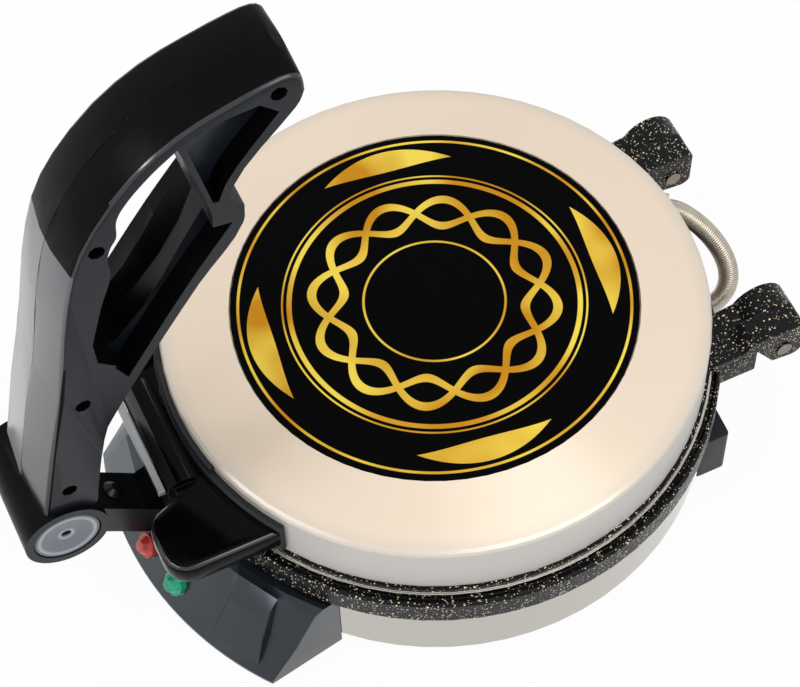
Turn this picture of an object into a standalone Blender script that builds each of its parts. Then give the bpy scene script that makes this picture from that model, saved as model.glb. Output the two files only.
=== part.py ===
"""Electric roti maker: two hinged cooking plates, a steel base and lid, and a press lever in front.

Everything is built round the axis of the cooking plates, in metres, with +Z up, the hinges at +Y and
the user's side at -Y. At the end the root empty moves so that the object's box is centred on the origin.
"""

import math

import bmesh
import bpy
from mathutils import Matrix, Vector

# Gaps and walls shared by many pieces
GAP = 0.0003
OVERRUN = 0.004
SHEET = 0.001

# How finely round pieces are faceted
LARGE_STEPS = 64
MEDIUM_STEPS = 32
SMALL_STEPS = 16

# The lever shells have many cuts that meet, which this solver takes
SHELL_SOLVER = "MANIFOLD"

# Feet and base
PAD_HEIGHT = 0.004
PAD_RADIUS = 0.0060
BAND_RADIUS = 0.1223
BAND_BOTTOM = 0.0100
BAND_HEIGHT = 0.0335
BAND_LIP = 0.0060
PAN_RIM_HEIGHT = 0.0040
PAN_BEAD = 0.0020

# Cooking plates
RIM_OVERHANG = 0.0037
LOWER_RIM_RADIUS = BAND_RADIUS + RIM_OVERHANG
LOWER_RIM_HEIGHT = 0.0137
LOWER_FACE_RISE = 0.0015
LOWER_RIM_WIDTH = 0.0070
GROOVE_DEPTH = 0.0035
RIM_LIP = 0.0020
GROOVE_WIDTH = 0.0025
GROOVE_OUTER = LOWER_RIM_RADIUS - RIM_LIP
GROOVE_INNER = GROOVE_OUTER - GROOVE_WIDTH
LOWER_PLATE_THICKNESS = 0.0095
PLATE_CLEARANCE = 0.0005
BRIGHT_INSET = 0.0021
UPPER_BRIGHT_RADIUS = GROOVE_OUTER - BRIGHT_INSET
UPPER_BRIGHT_HEIGHT = 0.0009
FLANGE_INSET = 0.0009
UPPER_FLANGE_RADIUS = UPPER_BRIGHT_RADIUS - FLANGE_INSET
UPPER_FLANGE_HEIGHT = 0.0036
UPPER_STEP_WIDTH = 0.0045
UPPER_STEP_RADIUS = UPPER_FLANGE_RADIUS - UPPER_STEP_WIDTH
UPPER_PLATE_THICKNESS = 0.0085

# Lid
LID_INSET = 0.0015
LID_RADIUS = UPPER_FLANGE_RADIUS - LID_INSET
LID_WALL_HEIGHT = 0.0286
LID_EDGE_ROUND = 0.0022
LID_RING_RISE = 0.0056
LID_RING_WIDTH = 0.0315
DISC_RADIUS = LID_RADIUS - LID_RING_WIDTH
DISC_THICKNESS = 0.0012
DISC_RECESS = 0.0016

# Hinges
HINGE_REACH = 0.0140
HINGE_REAR = LOWER_RIM_RADIUS + HINGE_REACH
HINGE_HEIGHT = 0.0540
LUG_WIDTH = 0.0131
LUG_SIDE_GAP = 0.0004
LUG_CENTRE = 0.0515
LUG_TOP_RADIUS = 0.0138
LUG_REAR_REACH = 0.0098
LUG_TOP_ROUND = 0.0026
LUG_NOSE_RUN = 0.0085
LUG_NOSE_RISE = 0.0070
LUG_LOW_REACH = 0.0086
ARM_REACH = 0.0002
ARM_REAR = LOWER_RIM_RADIUS + ARM_REACH
ARM_BOTTOM = 0.0460
ARM_OVERLAP = 0.0102
ARM_STEP = LOWER_RIM_RADIUS - ARM_OVERLAP
HINGE_PIN_RADIUS = 0.0029
HINGE_PIN_HEAD_RADIUS = 0.0037
HINGE_PIN_HEAD = 0.0007

# Heating inside
HEATER_RADIUS = 0.0035
HEATER_RING_RADIUS = 0.0820
HEATER_OPENING_DEGREES = 24
SHIELD_INSET = 0.0143
SHIELD_RADIUS = BAND_RADIUS - SHIELD_INSET
SHIELD_RIM = 0.0040
SHIELD_DROP = 0.0100
POST_RADIUS = 0.0045
POST_RING_RADIUS = 0.0700
POST_COUNT = 3
THERMOSTAT_RADIUS = 0.0090
THERMOSTAT_HEIGHT = 0.0085
TERMINAL_LENGTH = 0.0300
TERMINAL_DEPTH = 0.0140
TERMINAL_HEIGHT = 0.0120
TERMINAL_RING_RADIUS = 0.0550
TERMINAL_SCREW_RADIUS = 0.0020

# Ribbed conduit between lid and base
HOSE_RADIUS = 0.0050
HOSE_RIB = 0.0004
HOSE_BORE = 0.0034
HOSE_RIBS = 54
HOSE_LID_HEIGHT = 0.0715
HOSE_BASE_HEIGHT = 0.0245
HOSE_BULGE = 0.0190
HOSE_LID_TURN = 0.0170
HOSE_LID_DEGREES = 35
HOSE_BASE_TURN = 0.0160
FERRULE_RADIUS = 0.0068
FERRULE_LENGTH = 0.0055
GLAND_RADIUS = 0.0075
GLAND_LENGTH = 0.0120
GLAND_BORE = 0.0032
GLAND_FLANGE = 0.0105
GLAND_FLANGE_WIDTH = 0.0025
GLAND_DEGREES = 148

# Front panel, which is also the front foot
PANEL_CENTRE_DEGREES = -80
PANEL_HALF_WIDTH = 0.0699
PANEL_TOP_DEPTH = 0.0097
PANEL_TOP_RADIUS = BAND_RADIUS + PANEL_TOP_DEPTH
PANEL_FLARE = 0.0220
PANEL_FOOT_RADIUS = PANEL_TOP_RADIUS + PANEL_FLARE
PANEL_HEIGHT = 0.0385
PANEL_EDGE = 0.0030
PANEL_WALL = 0.0028
PANEL_BLOCK_DEGREES = 19.5
PANEL_BLOCK_HALF_WIDTH = 0.0105
PANEL_BLOCK_TOP = 0.0370
PANEL_BLOCK_DEPTH = 0.0090
PANEL_BLOCK_REACH = PANEL_TOP_RADIUS + PANEL_BLOCK_DEPTH
PANEL_BLOCK_INSET = 0.0020
PANEL_BLOCK_FOOT_REACH = PANEL_FOOT_RADIUS - PANEL_BLOCK_INSET
PANEL_BLOCK_FOOT = 0.0090
LAMP_CENTRE_DEGREES = -80.6
LAMP_DEGREES = 4.4
LAMP_RADIUS = 0.0060
LAMP_PROUD = 0.0066
LAMP_DEPTH = 0.0040
LAMP_HEIGHT = 0.0150

# Rear feet
REAR_FOOT_SIDE_INSET = 0.0393
REAR_FOOT_REAR_INSET = 0.0173
REAR_FOOT_START_INSET = 0.0318
REAR_FOOT_INNER_INSET = 0.0608
REAR_FOOT_SIDE = BAND_RADIUS - REAR_FOOT_SIDE_INSET
REAR_FOOT_REAR = BAND_RADIUS - REAR_FOOT_REAR_INSET
REAR_FOOT_SIDE_START = BAND_RADIUS - REAR_FOOT_START_INSET
REAR_FOOT_INNER = BAND_RADIUS - REAR_FOOT_INNER_INSET
REAR_FOOT_HEIGHT = 0.0290
REAR_FOOT_ROUND = 0.0020

# Lid handle
HANDLE_HALF_LENGTH = 0.0670
HANDLE_REACH = 0.0315
HANDLE_PAD_FRONT = LID_RADIUS + HANDLE_REACH
HANDLE_PAD_INNER = 0.0345
HANDLE_TOP = 0.0840
HANDLE_THICKNESS = 0.0130
HANDLE_ROUND = 0.0030
HANDLE_BAR_HALF_LENGTH = 0.0270
HANDLE_BAR_REACH = 0.0175
HANDLE_BAR_FRONT = LID_RADIUS + HANDLE_BAR_REACH
HANDLE_BAR_RADIUS = 0.0074
HANDLE_NECK_REACH = 0.0140
HANDLE_NECK_FRONT = LID_RADIUS + HANDLE_NECK_REACH
HANDLE_NECK_DROP = 0.0035
BACKPLATE_THICKNESS = 0.0030
BACKPLATE_BOTTOM = 0.0660
BACKPLATE_HEIGHT = 0.0190
BACKPLATE_CREST = 0.0035
BACKPLATE_CREST_DEGREES = 14
STRIP_HALF_LENGTH = 0.0255
STRIP_WIDTH = 0.0028
STRIP_THICKNESS = 0.0034
HANDLE_SCREW_X = 0.0480
SCREW_HEAD_RADIUS = 0.0031
SCREW_HEAD_HEIGHT = 0.0018
SCREW_RADIUS = 0.0015
HANDLE_SCREW_BITE = 0.0085

# Press lever
PIVOT_REACH = 0.0597
PIVOT_FRONT = BAND_RADIUS + PIVOT_REACH
PIVOT_HEIGHT = 0.0760
BARREL_RADIUS = 0.0185
BARREL_HALF_LENGTH = 0.0262
BARREL_BORE = 0.0140
BARREL_BORE_HALF = 0.0108
WINDOW_LOW_DEGREES = -88
WINDOW_HIGH_DEGREES = 40
PIVOT_PIN_RADIUS = 0.0040
CAP_RADIUS = 0.0146
CAP_DEPTH = 0.0030
CAP_WALL = 0.0012
CAP_HOLE = 0.0022
LEVER_DEPTH = 0.1260
LEVER_HEIGHT = 0.2400
LEVER_HALF_WIDTH = 0.0235
LEVER_TIP_HALF_WIDTH = 0.0185
LEVER_ROUND = 0.0020
LEVER_REAR_SPARE = 0.0140
LEVER_RIDGE = 0.0028
LEVER_WEB_HALF = 0.0105
LEVER_SCREW_HOLE = 0.0034
LEVER_SCREW_SEAT = 0.0100
LEVER_SCREW_BITE = 0.0080

# Lever bracket on the base front
BRACKET_DEGREES = 40
BRACKET_HALF_WIDTH = 0.0100
BRACKET_SHEET = 0.0016
BRACKET_FLANGE = 0.0160
BRACKET_DROP = 0.0016
BRACKET_EYE = 0.0085
BRACKET_NECK = 0.0150
BRACKET_NECK_LOW = 0.0066
BRACKET_SHOULDER = 0.0340
BRACKET_LENGTH = 0.0900
BRACKET_SLOT_GAP = 0.0006
BOLT_ALONG = 0.0370
BOLT_HEAD_RADIUS = 0.0050
BOLT_HEAD_HEIGHT = 0.0026
BOLT_RADIUS = 0.0022
NUT_RADIUS = 0.0042
NUT_HEIGHT = 0.0032
NUT_SIDES = 6

# Side view of the lever, as shares of its depth and height from the pivot
FRONT_SHARES = (
    (-0.062, 0.040),
    (0.018, 0.245),
    (0.090, 0.400),
    (0.150, 0.570),
    (0.217, 0.703),
    (0.308, 0.793),
    (0.450, 0.877),
    (0.600, 0.928),
    (0.740, 0.953),
    (0.880, 0.970),
    (0.950, 0.972),
    (0.985, 0.958),
    (0.990, 0.930),
)
REAR_SHARES = (
    (0.735, 0.772),
    (0.725, 0.750),
    (0.765, 0.722),
    (0.755, 0.680),
    (0.590, 0.565),
    (0.325, 0.360),
    (0.210, 0.262),
    (0.165, 0.165),
    (0.130, 0.060),
)
SLOT_SHARES = (
    (0.595, 0.905),
    (0.505, 0.872),
    (0.447, 0.842),
    (0.405, 0.820),
    (0.383, 0.798),
    (0.372, 0.760),
    (0.350, 0.742),
    (0.334, 0.716),
    (0.334, 0.680),
    (0.285, 0.605),
    (0.234, 0.515),
    (0.237, 0.462),
    (0.302, 0.428),
    (0.330, 0.436),
    (0.660, 0.692),
    (0.662, 0.730),
)
BAR_POCKET_SHARES = (
    (0.640, 0.697),
    (0.722, 0.690),
    (0.560, 0.577),
    (0.320, 0.390),
    (0.285, 0.430),
    (0.320, 0.445),
)
TIP_POCKET_SHARES = (
    (0.622, 0.896),
    (0.672, 0.755),
    (0.690, 0.752),
    (0.722, 0.790),
    (0.905, 0.905),
    (0.850, 0.935),
    (0.720, 0.928),
)
SCREW_SHARES = (
    (0.910, 0.944),
    (0.308, 0.744),
    (0.160, 0.365),
    (0.050, 0.128),
)
TAPER_START_SHARE = 0.45
CAP_DISH_SHARE = 0.45
BOLT_CREST_SHARE = 0.45
BLOCK_CREST_SHARE = 0.9
BLOCK_FOOT_SHARE = 1.2

# Conduit route between its two straight ends, as shares of the bulge, from the lid end down
HOSE_ROUTE_SHARES = (
    (0.42, 0.66, 0.03),
    (0.82, 0.84, 0.18),
    (0.95, 1.00, 0.40),
    (0.95, 0.98, 0.62),
    (0.90, 0.84, 0.84),
)
HOSE_SPAN = 0.0363

# Heights worked out from the sizes above
FOOT_BOTTOM = PAD_HEIGHT
BAND_TOP = BAND_BOTTOM + BAND_HEIGHT
LOWER_RIM_BOTTOM = BAND_TOP + GAP
LOWER_RIM_TOP = LOWER_RIM_BOTTOM + LOWER_RIM_HEIGHT
LOWER_FACE = LOWER_RIM_TOP + LOWER_FACE_RISE
LOWER_UNDERSIDE = LOWER_FACE - LOWER_PLATE_THICKNESS
UPPER_FACE = LOWER_FACE + PLATE_CLEARANCE
UPPER_FLANGE_TOP = UPPER_FACE + UPPER_FLANGE_HEIGHT
UPPER_TOPSIDE = UPPER_FACE + UPPER_PLATE_THICKNESS
LID_BOTTOM = UPPER_FLANGE_TOP + GAP
LID_EDGE = LID_BOTTOM + LID_WALL_HEIGHT
LID_TOP = LID_EDGE + LID_RING_RISE
RECESS_FLOOR = LID_TOP - DISC_RECESS
PAN_TOP = BAND_BOTTOM + SHEET + GAP + SHEET
PIVOT_Y = -PIVOT_FRONT

HINGE_POINT = Vector((0, HINGE_REAR, HINGE_HEIGHT))
PIVOT_POINT = Vector((0, PIVOT_Y, PIVOT_HEIGHT))


def clear_scene():
    for item in list(bpy.data.objects):
        bpy.data.objects.remove(item, do_unlink=True)


def new_collection(name):
    collection = bpy.data.collections.new(name)
    bpy.context.scene.collection.children.link(collection)
    return collection


def material(name, colour, roughness, metallic):
    finish = bpy.data.materials.new(name)
    finish.use_nodes = True
    shader = finish.node_tree.nodes["Principled BSDF"]
    shader.inputs["Base Color"].default_value = (*colour, 1)
    shader.inputs["Roughness"].default_value = roughness
    shader.inputs["Metallic"].default_value = metallic
    finish.diffuse_color = (*colour, 1)
    return finish


def add_object(name, mesh):
    item = bpy.data.objects.new(name, mesh)
    parts.objects.link(item)
    return item


def from_bmesh(name, shape):
    bmesh.ops.recalc_face_normals(shape, faces=shape.faces)
    mesh = bpy.data.meshes.new(name)
    shape.to_mesh(mesh)
    shape.free()
    return add_object(name, mesh)


def evaluated_mesh(item):
    graph = bpy.context.evaluated_depsgraph_get()
    return bpy.data.meshes.new_from_object(item.evaluated_get(graph))


def outline_solid(name, loops, half_depth, turn=Matrix.Identity(4), rounding=0, resolution=2):
    """A flat outline with round edges or none, thickened both ways. Later loops are holes."""
    curve = bpy.data.curves.new(name, "CURVE")
    curve.dimensions = "2D"
    curve.fill_mode = "BOTH"
    curve.extrude = half_depth - rounding
    curve.bevel_depth = rounding
    curve.bevel_resolution = resolution
    for points in loops:
        spline = curve.splines.new("POLY")
        spline.points.add(len(points) - 1)
        for point, (across, along) in zip(spline.points, points):
            point.co = (across, along, 0, 1)
        spline.use_cyclic_u = True
    item = add_object(name + " outline", curve)
    mesh = evaluated_mesh(item)
    bpy.data.objects.remove(item, do_unlink=True)
    return closed_mesh(name, mesh, turn)


def closed_mesh(name, mesh, turn=Matrix.Identity(4)):
    """A mesh made from a curve, with its caps welded on and its place applied."""
    shape = bmesh.new()
    shape.from_mesh(mesh)
    bpy.data.meshes.remove(mesh)
    bmesh.ops.remove_doubles(shape, verts=shape.verts, dist=GAP / 100)
    bmesh.ops.transform(shape, matrix=turn, verts=shape.verts)
    return from_bmesh(name, shape)


def side_view(x=0):
    """Turns a flat outline's across and along into Y and Z, with its depth along X."""
    return Matrix(((0, 0, 1, x), (1, 0, 0, 0), (0, 1, 0, 0), (0, 0, 0, 1)))


def plan_view(height):
    return Matrix.Translation((0, 0, height))


def turned(name, profile, steps):
    """A solid turned about Z from a profile of (radius, height), down its outer side."""
    mesh = bpy.data.meshes.new(name)
    points = [(radius, 0, height) for radius, height in profile]
    edges = [(index, index + 1) for index in range(len(points) - 1)]
    if profile[0][0] > 0:
        edges.append((len(points) - 1, 0))
    mesh.from_pydata(points, edges, [])
    item = add_object(name, mesh)
    screw = item.modifiers.new("Turn", "SCREW")
    screw.steps = steps
    screw.render_steps = steps
    screw.use_merge_vertices = True
    screw.merge_threshold = GAP / 100
    solid = evaluated_mesh(item)
    bpy.data.objects.remove(item, do_unlink=True)
    return closed_mesh(name, solid)


def cylinder(name, radius, start, end, steps=SMALL_STEPS, end_radius=None):
    """A rod from one point to another, or a cone where its end radius differs."""
    start, end = Vector(start), Vector(end)
    along = end - start
    shape = bmesh.new()
    bmesh.ops.create_cone(
        shape,
        cap_ends=True,
        segments=steps,
        radius1=radius,
        radius2=radius if end_radius is None else end_radius,
        depth=along.length,
    )
    turn = along.to_track_quat("Z", "Y").to_matrix().to_4x4()
    place = Matrix.Translation((start + end) / 2) @ turn
    bmesh.ops.transform(shape, matrix=place, verts=shape.verts)
    return from_bmesh(name, shape)


def box(name, low, high):
    low, high = Vector(low), Vector(high)
    shape = bmesh.new()
    bmesh.ops.create_cube(shape, size=1)
    size = Matrix.Diagonal((*(high - low), 1))
    bmesh.ops.transform(shape, matrix=Matrix.Translation((low + high) / 2) @ size, verts=shape.verts)
    return from_bmesh(name, shape)


def hull(name, points):
    shape = bmesh.new()
    for point in points:
        shape.verts.new(point)
    bmesh.ops.convex_hull(shape, input=shape.verts)
    return from_bmesh(name, shape)


def sector(name, profile, start_degrees, end_degrees, steps):
    """Part of a turned solid: a profile of (radius, height) swept about Z between two angles."""
    shape = bmesh.new()
    start = math.radians(start_degrees)
    verts = [
        shape.verts.new((radius * math.cos(start), radius * math.sin(start), height))
        for radius, height in profile
    ]
    face = shape.faces.new(verts)
    bmesh.ops.spin(
        shape,
        geom=[face, *face.edges, *face.verts],
        cent=(0, 0, 0),
        axis=(0, 0, 1),
        angle=math.radians(end_degrees - start_degrees),
        steps=steps,
        use_duplicate=False,
    )
    return from_bmesh(name, shape)


def combine(target, other, operation, solver="EXACT"):
    """Cuts another solid out of the target, joins it on, or keeps only what both share."""
    modifier = target.modifiers.new(other.name, "BOOLEAN")
    modifier.operation = operation
    modifier.object = other
    modifier.solver = solver
    parts.objects.unlink(other)
    cutters.objects.link(other)
    other.hide_render = True
    other.display_type = "WIRE"
    return target


def cut(target, *others, solver="EXACT"):
    for other in others:
        combine(target, other, "DIFFERENCE", solver)
    return target


def join(target, *others, solver="EXACT"):
    for other in others:
        combine(target, other, "UNION", solver)
    return target


def keep_common(target, other, solver="EXACT"):
    return combine(target, other, "INTERSECT", solver)


def finish(item, look, body, smooth=True):
    """Applies the cuts and joins, colours the piece and hangs it on its body's empty."""
    if item.modifiers:
        mesh = evaluated_mesh(item)
        item.modifiers.clear()
        item.data = mesh
    item.data.name = item.name
    item.data.materials.clear()
    item.data.materials.append(look)
    if smooth:
        item.data.shade_smooth()
        item.data.set_sharp_from_angle(angle=math.radians(32))
    item.parent = body
    item.matrix_parent_inverse = body.matrix_world.inverted()
    return item


def polar(radius, degrees, height):
    angle = math.radians(degrees)
    return Vector((radius * math.cos(angle), radius * math.sin(angle), height))


def arc(radius, start_degrees, end_degrees, steps, centre=(0, 0)):
    turns = [start_degrees + (end_degrees - start_degrees) * step / steps for step in range(steps + 1)]
    return [
        (
            centre[0] + radius * math.cos(math.radians(turn)),
            centre[1] + radius * math.sin(math.radians(turn)),
        )
        for turn in turns
    ]


def offset_open(points, distance):
    """The same run of points moved sideways, to the left of its direction where positive."""
    moved = []
    for index, point in enumerate(points):
        before = Vector(points[max(index - 1, 0)])
        after = Vector(points[min(index + 1, len(points) - 1)])
        along = (after - before).normalized()
        moved.append((point[0] - along.y * distance, point[1] + along.x * distance))
    return moved


def smooth_run(points, steps):
    """Points along a smooth curve through the given ones."""
    run = []
    vectors = [Vector(point) for point in points]
    ends = [2 * vectors[0] - vectors[1], *vectors, 2 * vectors[-1] - vectors[-2]]
    for index in range(1, len(ends) - 2):
        before, start, end, after = ends[index - 1 : index + 3]
        for step in range(steps):
            t = step / steps
            run.append(
                (
                    2 * start
                    + (end - before) * t
                    + (2 * before - 5 * start + 4 * end - after) * t**2
                    + (3 * start - before - 3 * end + after) * t**3
                )
                / 2
            )
    run.append(vectors[-1])
    return run


def tube(name, points, radii, resolution):
    """A tube with filled ends through the points, one radius for each."""
    curve = bpy.data.curves.new(name, "CURVE")
    curve.dimensions = "3D"
    curve.bevel_depth = 1
    curve.bevel_resolution = resolution
    curve.use_fill_caps = True
    spline = curve.splines.new("POLY")
    spline.points.add(len(points) - 1)
    for place, point, radius in zip(spline.points, points, radii):
        place.co = (*point, 1)
        place.radius = radius
    item = add_object(name + " route", curve)
    mesh = evaluated_mesh(item)
    bpy.data.objects.remove(item, do_unlink=True)
    return closed_mesh(name, mesh)


def even_points(points, count):
    """Evenly spaced points along a run."""
    lengths = [0]
    for first, second in zip(points, points[1:]):
        lengths.append(lengths[-1] + (second - first).length)
    spaced = []
    index = 0
    for step in range(count + 1):
        target = lengths[-1] * step / count
        while index < len(points) - 2 and lengths[index + 1] < target:
            index += 1
        share = (target - lengths[index]) / (lengths[index + 1] - lengths[index])
        spaced.append(points[index].lerp(points[index + 1], share))
    return spaced


def headed_screw(name, seat, direction, head_radius, head_height, radius, length):
    """A screw with its head proud of the seat and its shank along the direction."""
    seat, direction = Vector(seat), Vector(direction).normalized()
    head = cylinder(name, head_radius, seat - direction * head_height, seat)
    middle = seat - direction * head_height / 2
    shank = cylinder(name + " shank", radius, middle, seat + direction * length)
    return join(head, shank)


def rubber_pads():
    inset = PAD_RADIUS + PANEL_EDGE / 2
    rear = Vector((REAR_FOOT_SIDE - inset, REAR_FOOT_REAR - inset, 0))
    front_radius = BAND_RADIUS + GAP + PANEL_WALL + PAD_RADIUS
    places = {
        "rubber_pad_rear_right": rear,
        "rubber_pad_rear_left": Vector((-rear.x, rear.y, 0)),
        "rubber_pad_front_right": polar(front_radius, PANEL_CENTRE_DEGREES + PANEL_BLOCK_DEGREES, 0),
        "rubber_pad_front_left": polar(front_radius, PANEL_CENTRE_DEGREES - PANEL_BLOCK_DEGREES, 0),
    }
    for name, place in places.items():
        top = place + Vector((0, 0, FOOT_BOTTOM - GAP))
        pad = cylinder(name, PAD_RADIUS - PANEL_EDGE / 4, place, top, end_radius=PAD_RADIUS)
        finish(pad, rubber, root)


def base_band():
    outer, inner = BAND_RADIUS, BAND_RADIUS - SHEET
    bottom = BAND_BOTTOM
    profile = (
        (inner, BAND_TOP),
        (outer, BAND_TOP),
        (outer, bottom),
        (outer - BAND_LIP, bottom),
        (outer - BAND_LIP, bottom + SHEET),
        (inner, bottom + SHEET),
    )
    band = turned("base_band", profile, LARGE_STEPS)
    cut(band, *base_wall_holes())
    finish(band, steel, root)


def base_wall_holes():
    """Holes through the band for the conduit, the cord inlet and the bracket screw."""
    start, direction = hose_end("base")
    low, high = BAND_RADIUS - SHEET - OVERRUN, BAND_RADIUS + OVERRUN
    gland_height = (BAND_BOTTOM + BAND_TOP) / 2
    screw_height = bracket_screw_height()
    return [
        cylinder(
            "conduit hole in band",
            HOSE_BORE,
            start - direction * 2 * OVERRUN,
            start + direction * OVERRUN,
        ),
        cylinder(
            "inlet hole in band",
            GLAND_RADIUS + GAP,
            polar(low, GLAND_DEGREES, gland_height),
            polar(high, GLAND_DEGREES, gland_height),
        ),
        cylinder(
            "bracket screw hole in band",
            SCREW_RADIUS + GAP,
            (0, -low, screw_height),
            (0, -high, screw_height),
        ),
    ]


def base_pan():
    radius = BAND_RADIUS - SHEET - GAP
    low = BAND_BOTTOM + SHEET + GAP
    profile = (
        (0, low + SHEET + PAN_BEAD),
        (radius / 3, low + SHEET + PAN_BEAD),
        (radius / 3 + PAN_BEAD, low + SHEET),
        (radius - SHEET, low + SHEET),
        (radius - SHEET, low + PAN_RIM_HEIGHT),
        (radius, low + PAN_RIM_HEIGHT),
        (radius, low),
        (radius / 3 + PAN_BEAD, low),
        (radius / 3, low + PAN_BEAD),
        (0, low + PAN_BEAD),
    )
    finish(turned("base_pan", profile, MEDIUM_STEPS), dark_steel, root)


def lug_outline(top, front, underside):
    """Side view of a hinge lug: flat along its top, round behind, with its low nose under the pin."""
    y, z = HINGE_REAR, HINGE_HEIGHT
    rear, low = y + LUG_REAR_REACH, z - LUG_LOW_REACH
    corner = LUG_REAR_REACH / 2
    return [
        (front, underside),
        (front, top - LUG_NOSE_RISE),
        (front + LUG_NOSE_RUN, top),
        *arc(LUG_TOP_ROUND, 90, 15, 3, (rear - LUG_TOP_ROUND, top - LUG_TOP_ROUND)),
        *arc(corner, -20, -90, 3, (rear - corner, low + corner)),
        (y - corner, low + corner / 4),
        (ARM_REAR + LUG_SIDE_GAP, underside),
    ]


def round_lug_outline(top, front, underside):
    """Side view of a lug whose head is a circle round the pin."""
    y, z = HINGE_REAR, HINGE_HEIGHT
    return [
        (front, underside),
        (front, top),
        *arc(LUG_TOP_RADIUS, 150, -60, SMALL_STEPS - 2, (y, z)),
        (y - LUG_LOW_REACH, z - LUG_LOW_REACH),
        (ARM_REAR, underside),
    ]


def lug_sides(centre):
    """Where the lower and the upper plate's lugs of one hinge lie along X."""
    half = LUG_SIDE_GAP / 2
    return (centre - half - LUG_WIDTH, centre - half), (centre + half, centre + half + LUG_WIDTH)


def hinge_centres():
    return (-LUG_CENTRE, LUG_CENTRE)


def extruded_between(name, outline, low, high):
    return outline_solid(name, [outline], (high - low) / 2, side_view((low + high) / 2))


def lower_plate():
    rim_inner = LOWER_RIM_RADIUS - LOWER_RIM_WIDTH
    profile = (
        (0, LOWER_FACE),
        (GROOVE_INNER - LOWER_FACE_RISE, LOWER_FACE),
        (GROOVE_INNER, LOWER_FACE - GROOVE_DEPTH),
        (GROOVE_OUTER - SHEET / 2, LOWER_FACE - GROOVE_DEPTH),
        (GROOVE_OUTER, LOWER_RIM_TOP),
        (LOWER_RIM_RADIUS - SHEET, LOWER_RIM_TOP),
        (LOWER_RIM_RADIUS, LOWER_RIM_TOP - SHEET),
        (LOWER_RIM_RADIUS, LOWER_RIM_BOTTOM),
        (rim_inner, LOWER_RIM_BOTTOM),
        (rim_inner - SHEET, LOWER_UNDERSIDE),
        (0, LOWER_UNDERSIDE),
    )
    plate = turned("lower_plate", profile, LARGE_STEPS)
    arm_front = UPPER_STEP_RADIUS / 2 + GROOVE_OUTER / 2 - LOWER_RIM_WIDTH * 2
    for centre in hinge_centres():
        (low, inner), (_, high) = lug_sides(centre)
        arm = box(
            "lower arm",
            (low, arm_front * math.cos(math.asin(abs(centre) / arm_front)), ARM_BOTTOM),
            (high, ARM_REAR, LOWER_FACE),
        )
        lug = extruded_between(
            "lower lug",
            round_lug_outline(LOWER_FACE, ARM_STEP, ARM_BOTTOM),
            low,
            inner,
        )
        join(plate, arm, lug)
    cut(plate, *hinge_pin_holes())
    finish(plate, granite, root)


def upper_plate():
    bright_top = UPPER_FACE + UPPER_BRIGHT_HEIGHT
    profile = (
        (0, UPPER_TOPSIDE),
        (UPPER_STEP_RADIUS - SHEET, UPPER_TOPSIDE),
        (UPPER_STEP_RADIUS, UPPER_FLANGE_TOP),
        (UPPER_FLANGE_RADIUS, UPPER_FLANGE_TOP),
        (UPPER_FLANGE_RADIUS, bright_top),
        (UPPER_BRIGHT_RADIUS, bright_top),
        (UPPER_BRIGHT_RADIUS, UPPER_FACE),
        (0, UPPER_FACE),
    )
    plate = turned("upper_plate", profile, LARGE_STEPS)
    arm_front = UPPER_STEP_RADIUS - LOWER_RIM_WIDTH
    for centre in hinge_centres():
        _, (low, high) = lug_sides(centre)
        front = arm_front * math.cos(math.asin(max(abs(low), abs(high)) / arm_front))
        arm = box("upper arm", (low, front, UPPER_FACE), (high, ARM_REAR, UPPER_FLANGE_TOP))
        lug = extruded_between(
            "upper lug",
            lug_outline(HINGE_HEIGHT + LUG_TOP_RADIUS, ARM_STEP, UPPER_FACE),
            low,
            high,
        )
        join(plate, arm, lug)
    cut(plate, *hinge_pin_holes())
    finish(plate, granite, lid_hinge)


def hinge_pin_holes():
    holes = []
    for centre in hinge_centres():
        (low, _), (_, high) = lug_sides(centre)
        holes.append(
            cylinder(
                "pin hole",
                HINGE_PIN_RADIUS + GAP,
                (low - OVERRUN, HINGE_REAR, HINGE_HEIGHT),
                (high + OVERRUN, HINGE_REAR, HINGE_HEIGHT),
            )
        )
    return holes


def hinge_pins():
    for name, centre in zip(("hinge_pin_left", "hinge_pin_right"), hinge_centres()):
        (low, _), (_, high) = lug_sides(centre)
        start = (low - HINGE_PIN_HEAD, HINGE_REAR, HINGE_HEIGHT)
        end = (high + HINGE_PIN_HEAD, HINGE_REAR, HINGE_HEIGHT)
        seat = (high + GAP, HINGE_REAR, HINGE_HEIGHT)
        head_end = (high + GAP + HINGE_PIN_HEAD, HINGE_REAR, HINGE_HEIGHT)
        shank = cylinder(name, HINGE_PIN_RADIUS, start, end)
        head = cylinder("pin head", HINGE_PIN_HEAD_RADIUS, seat, head_end)
        finish(join(shank, head), pin_steel, root)


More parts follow.
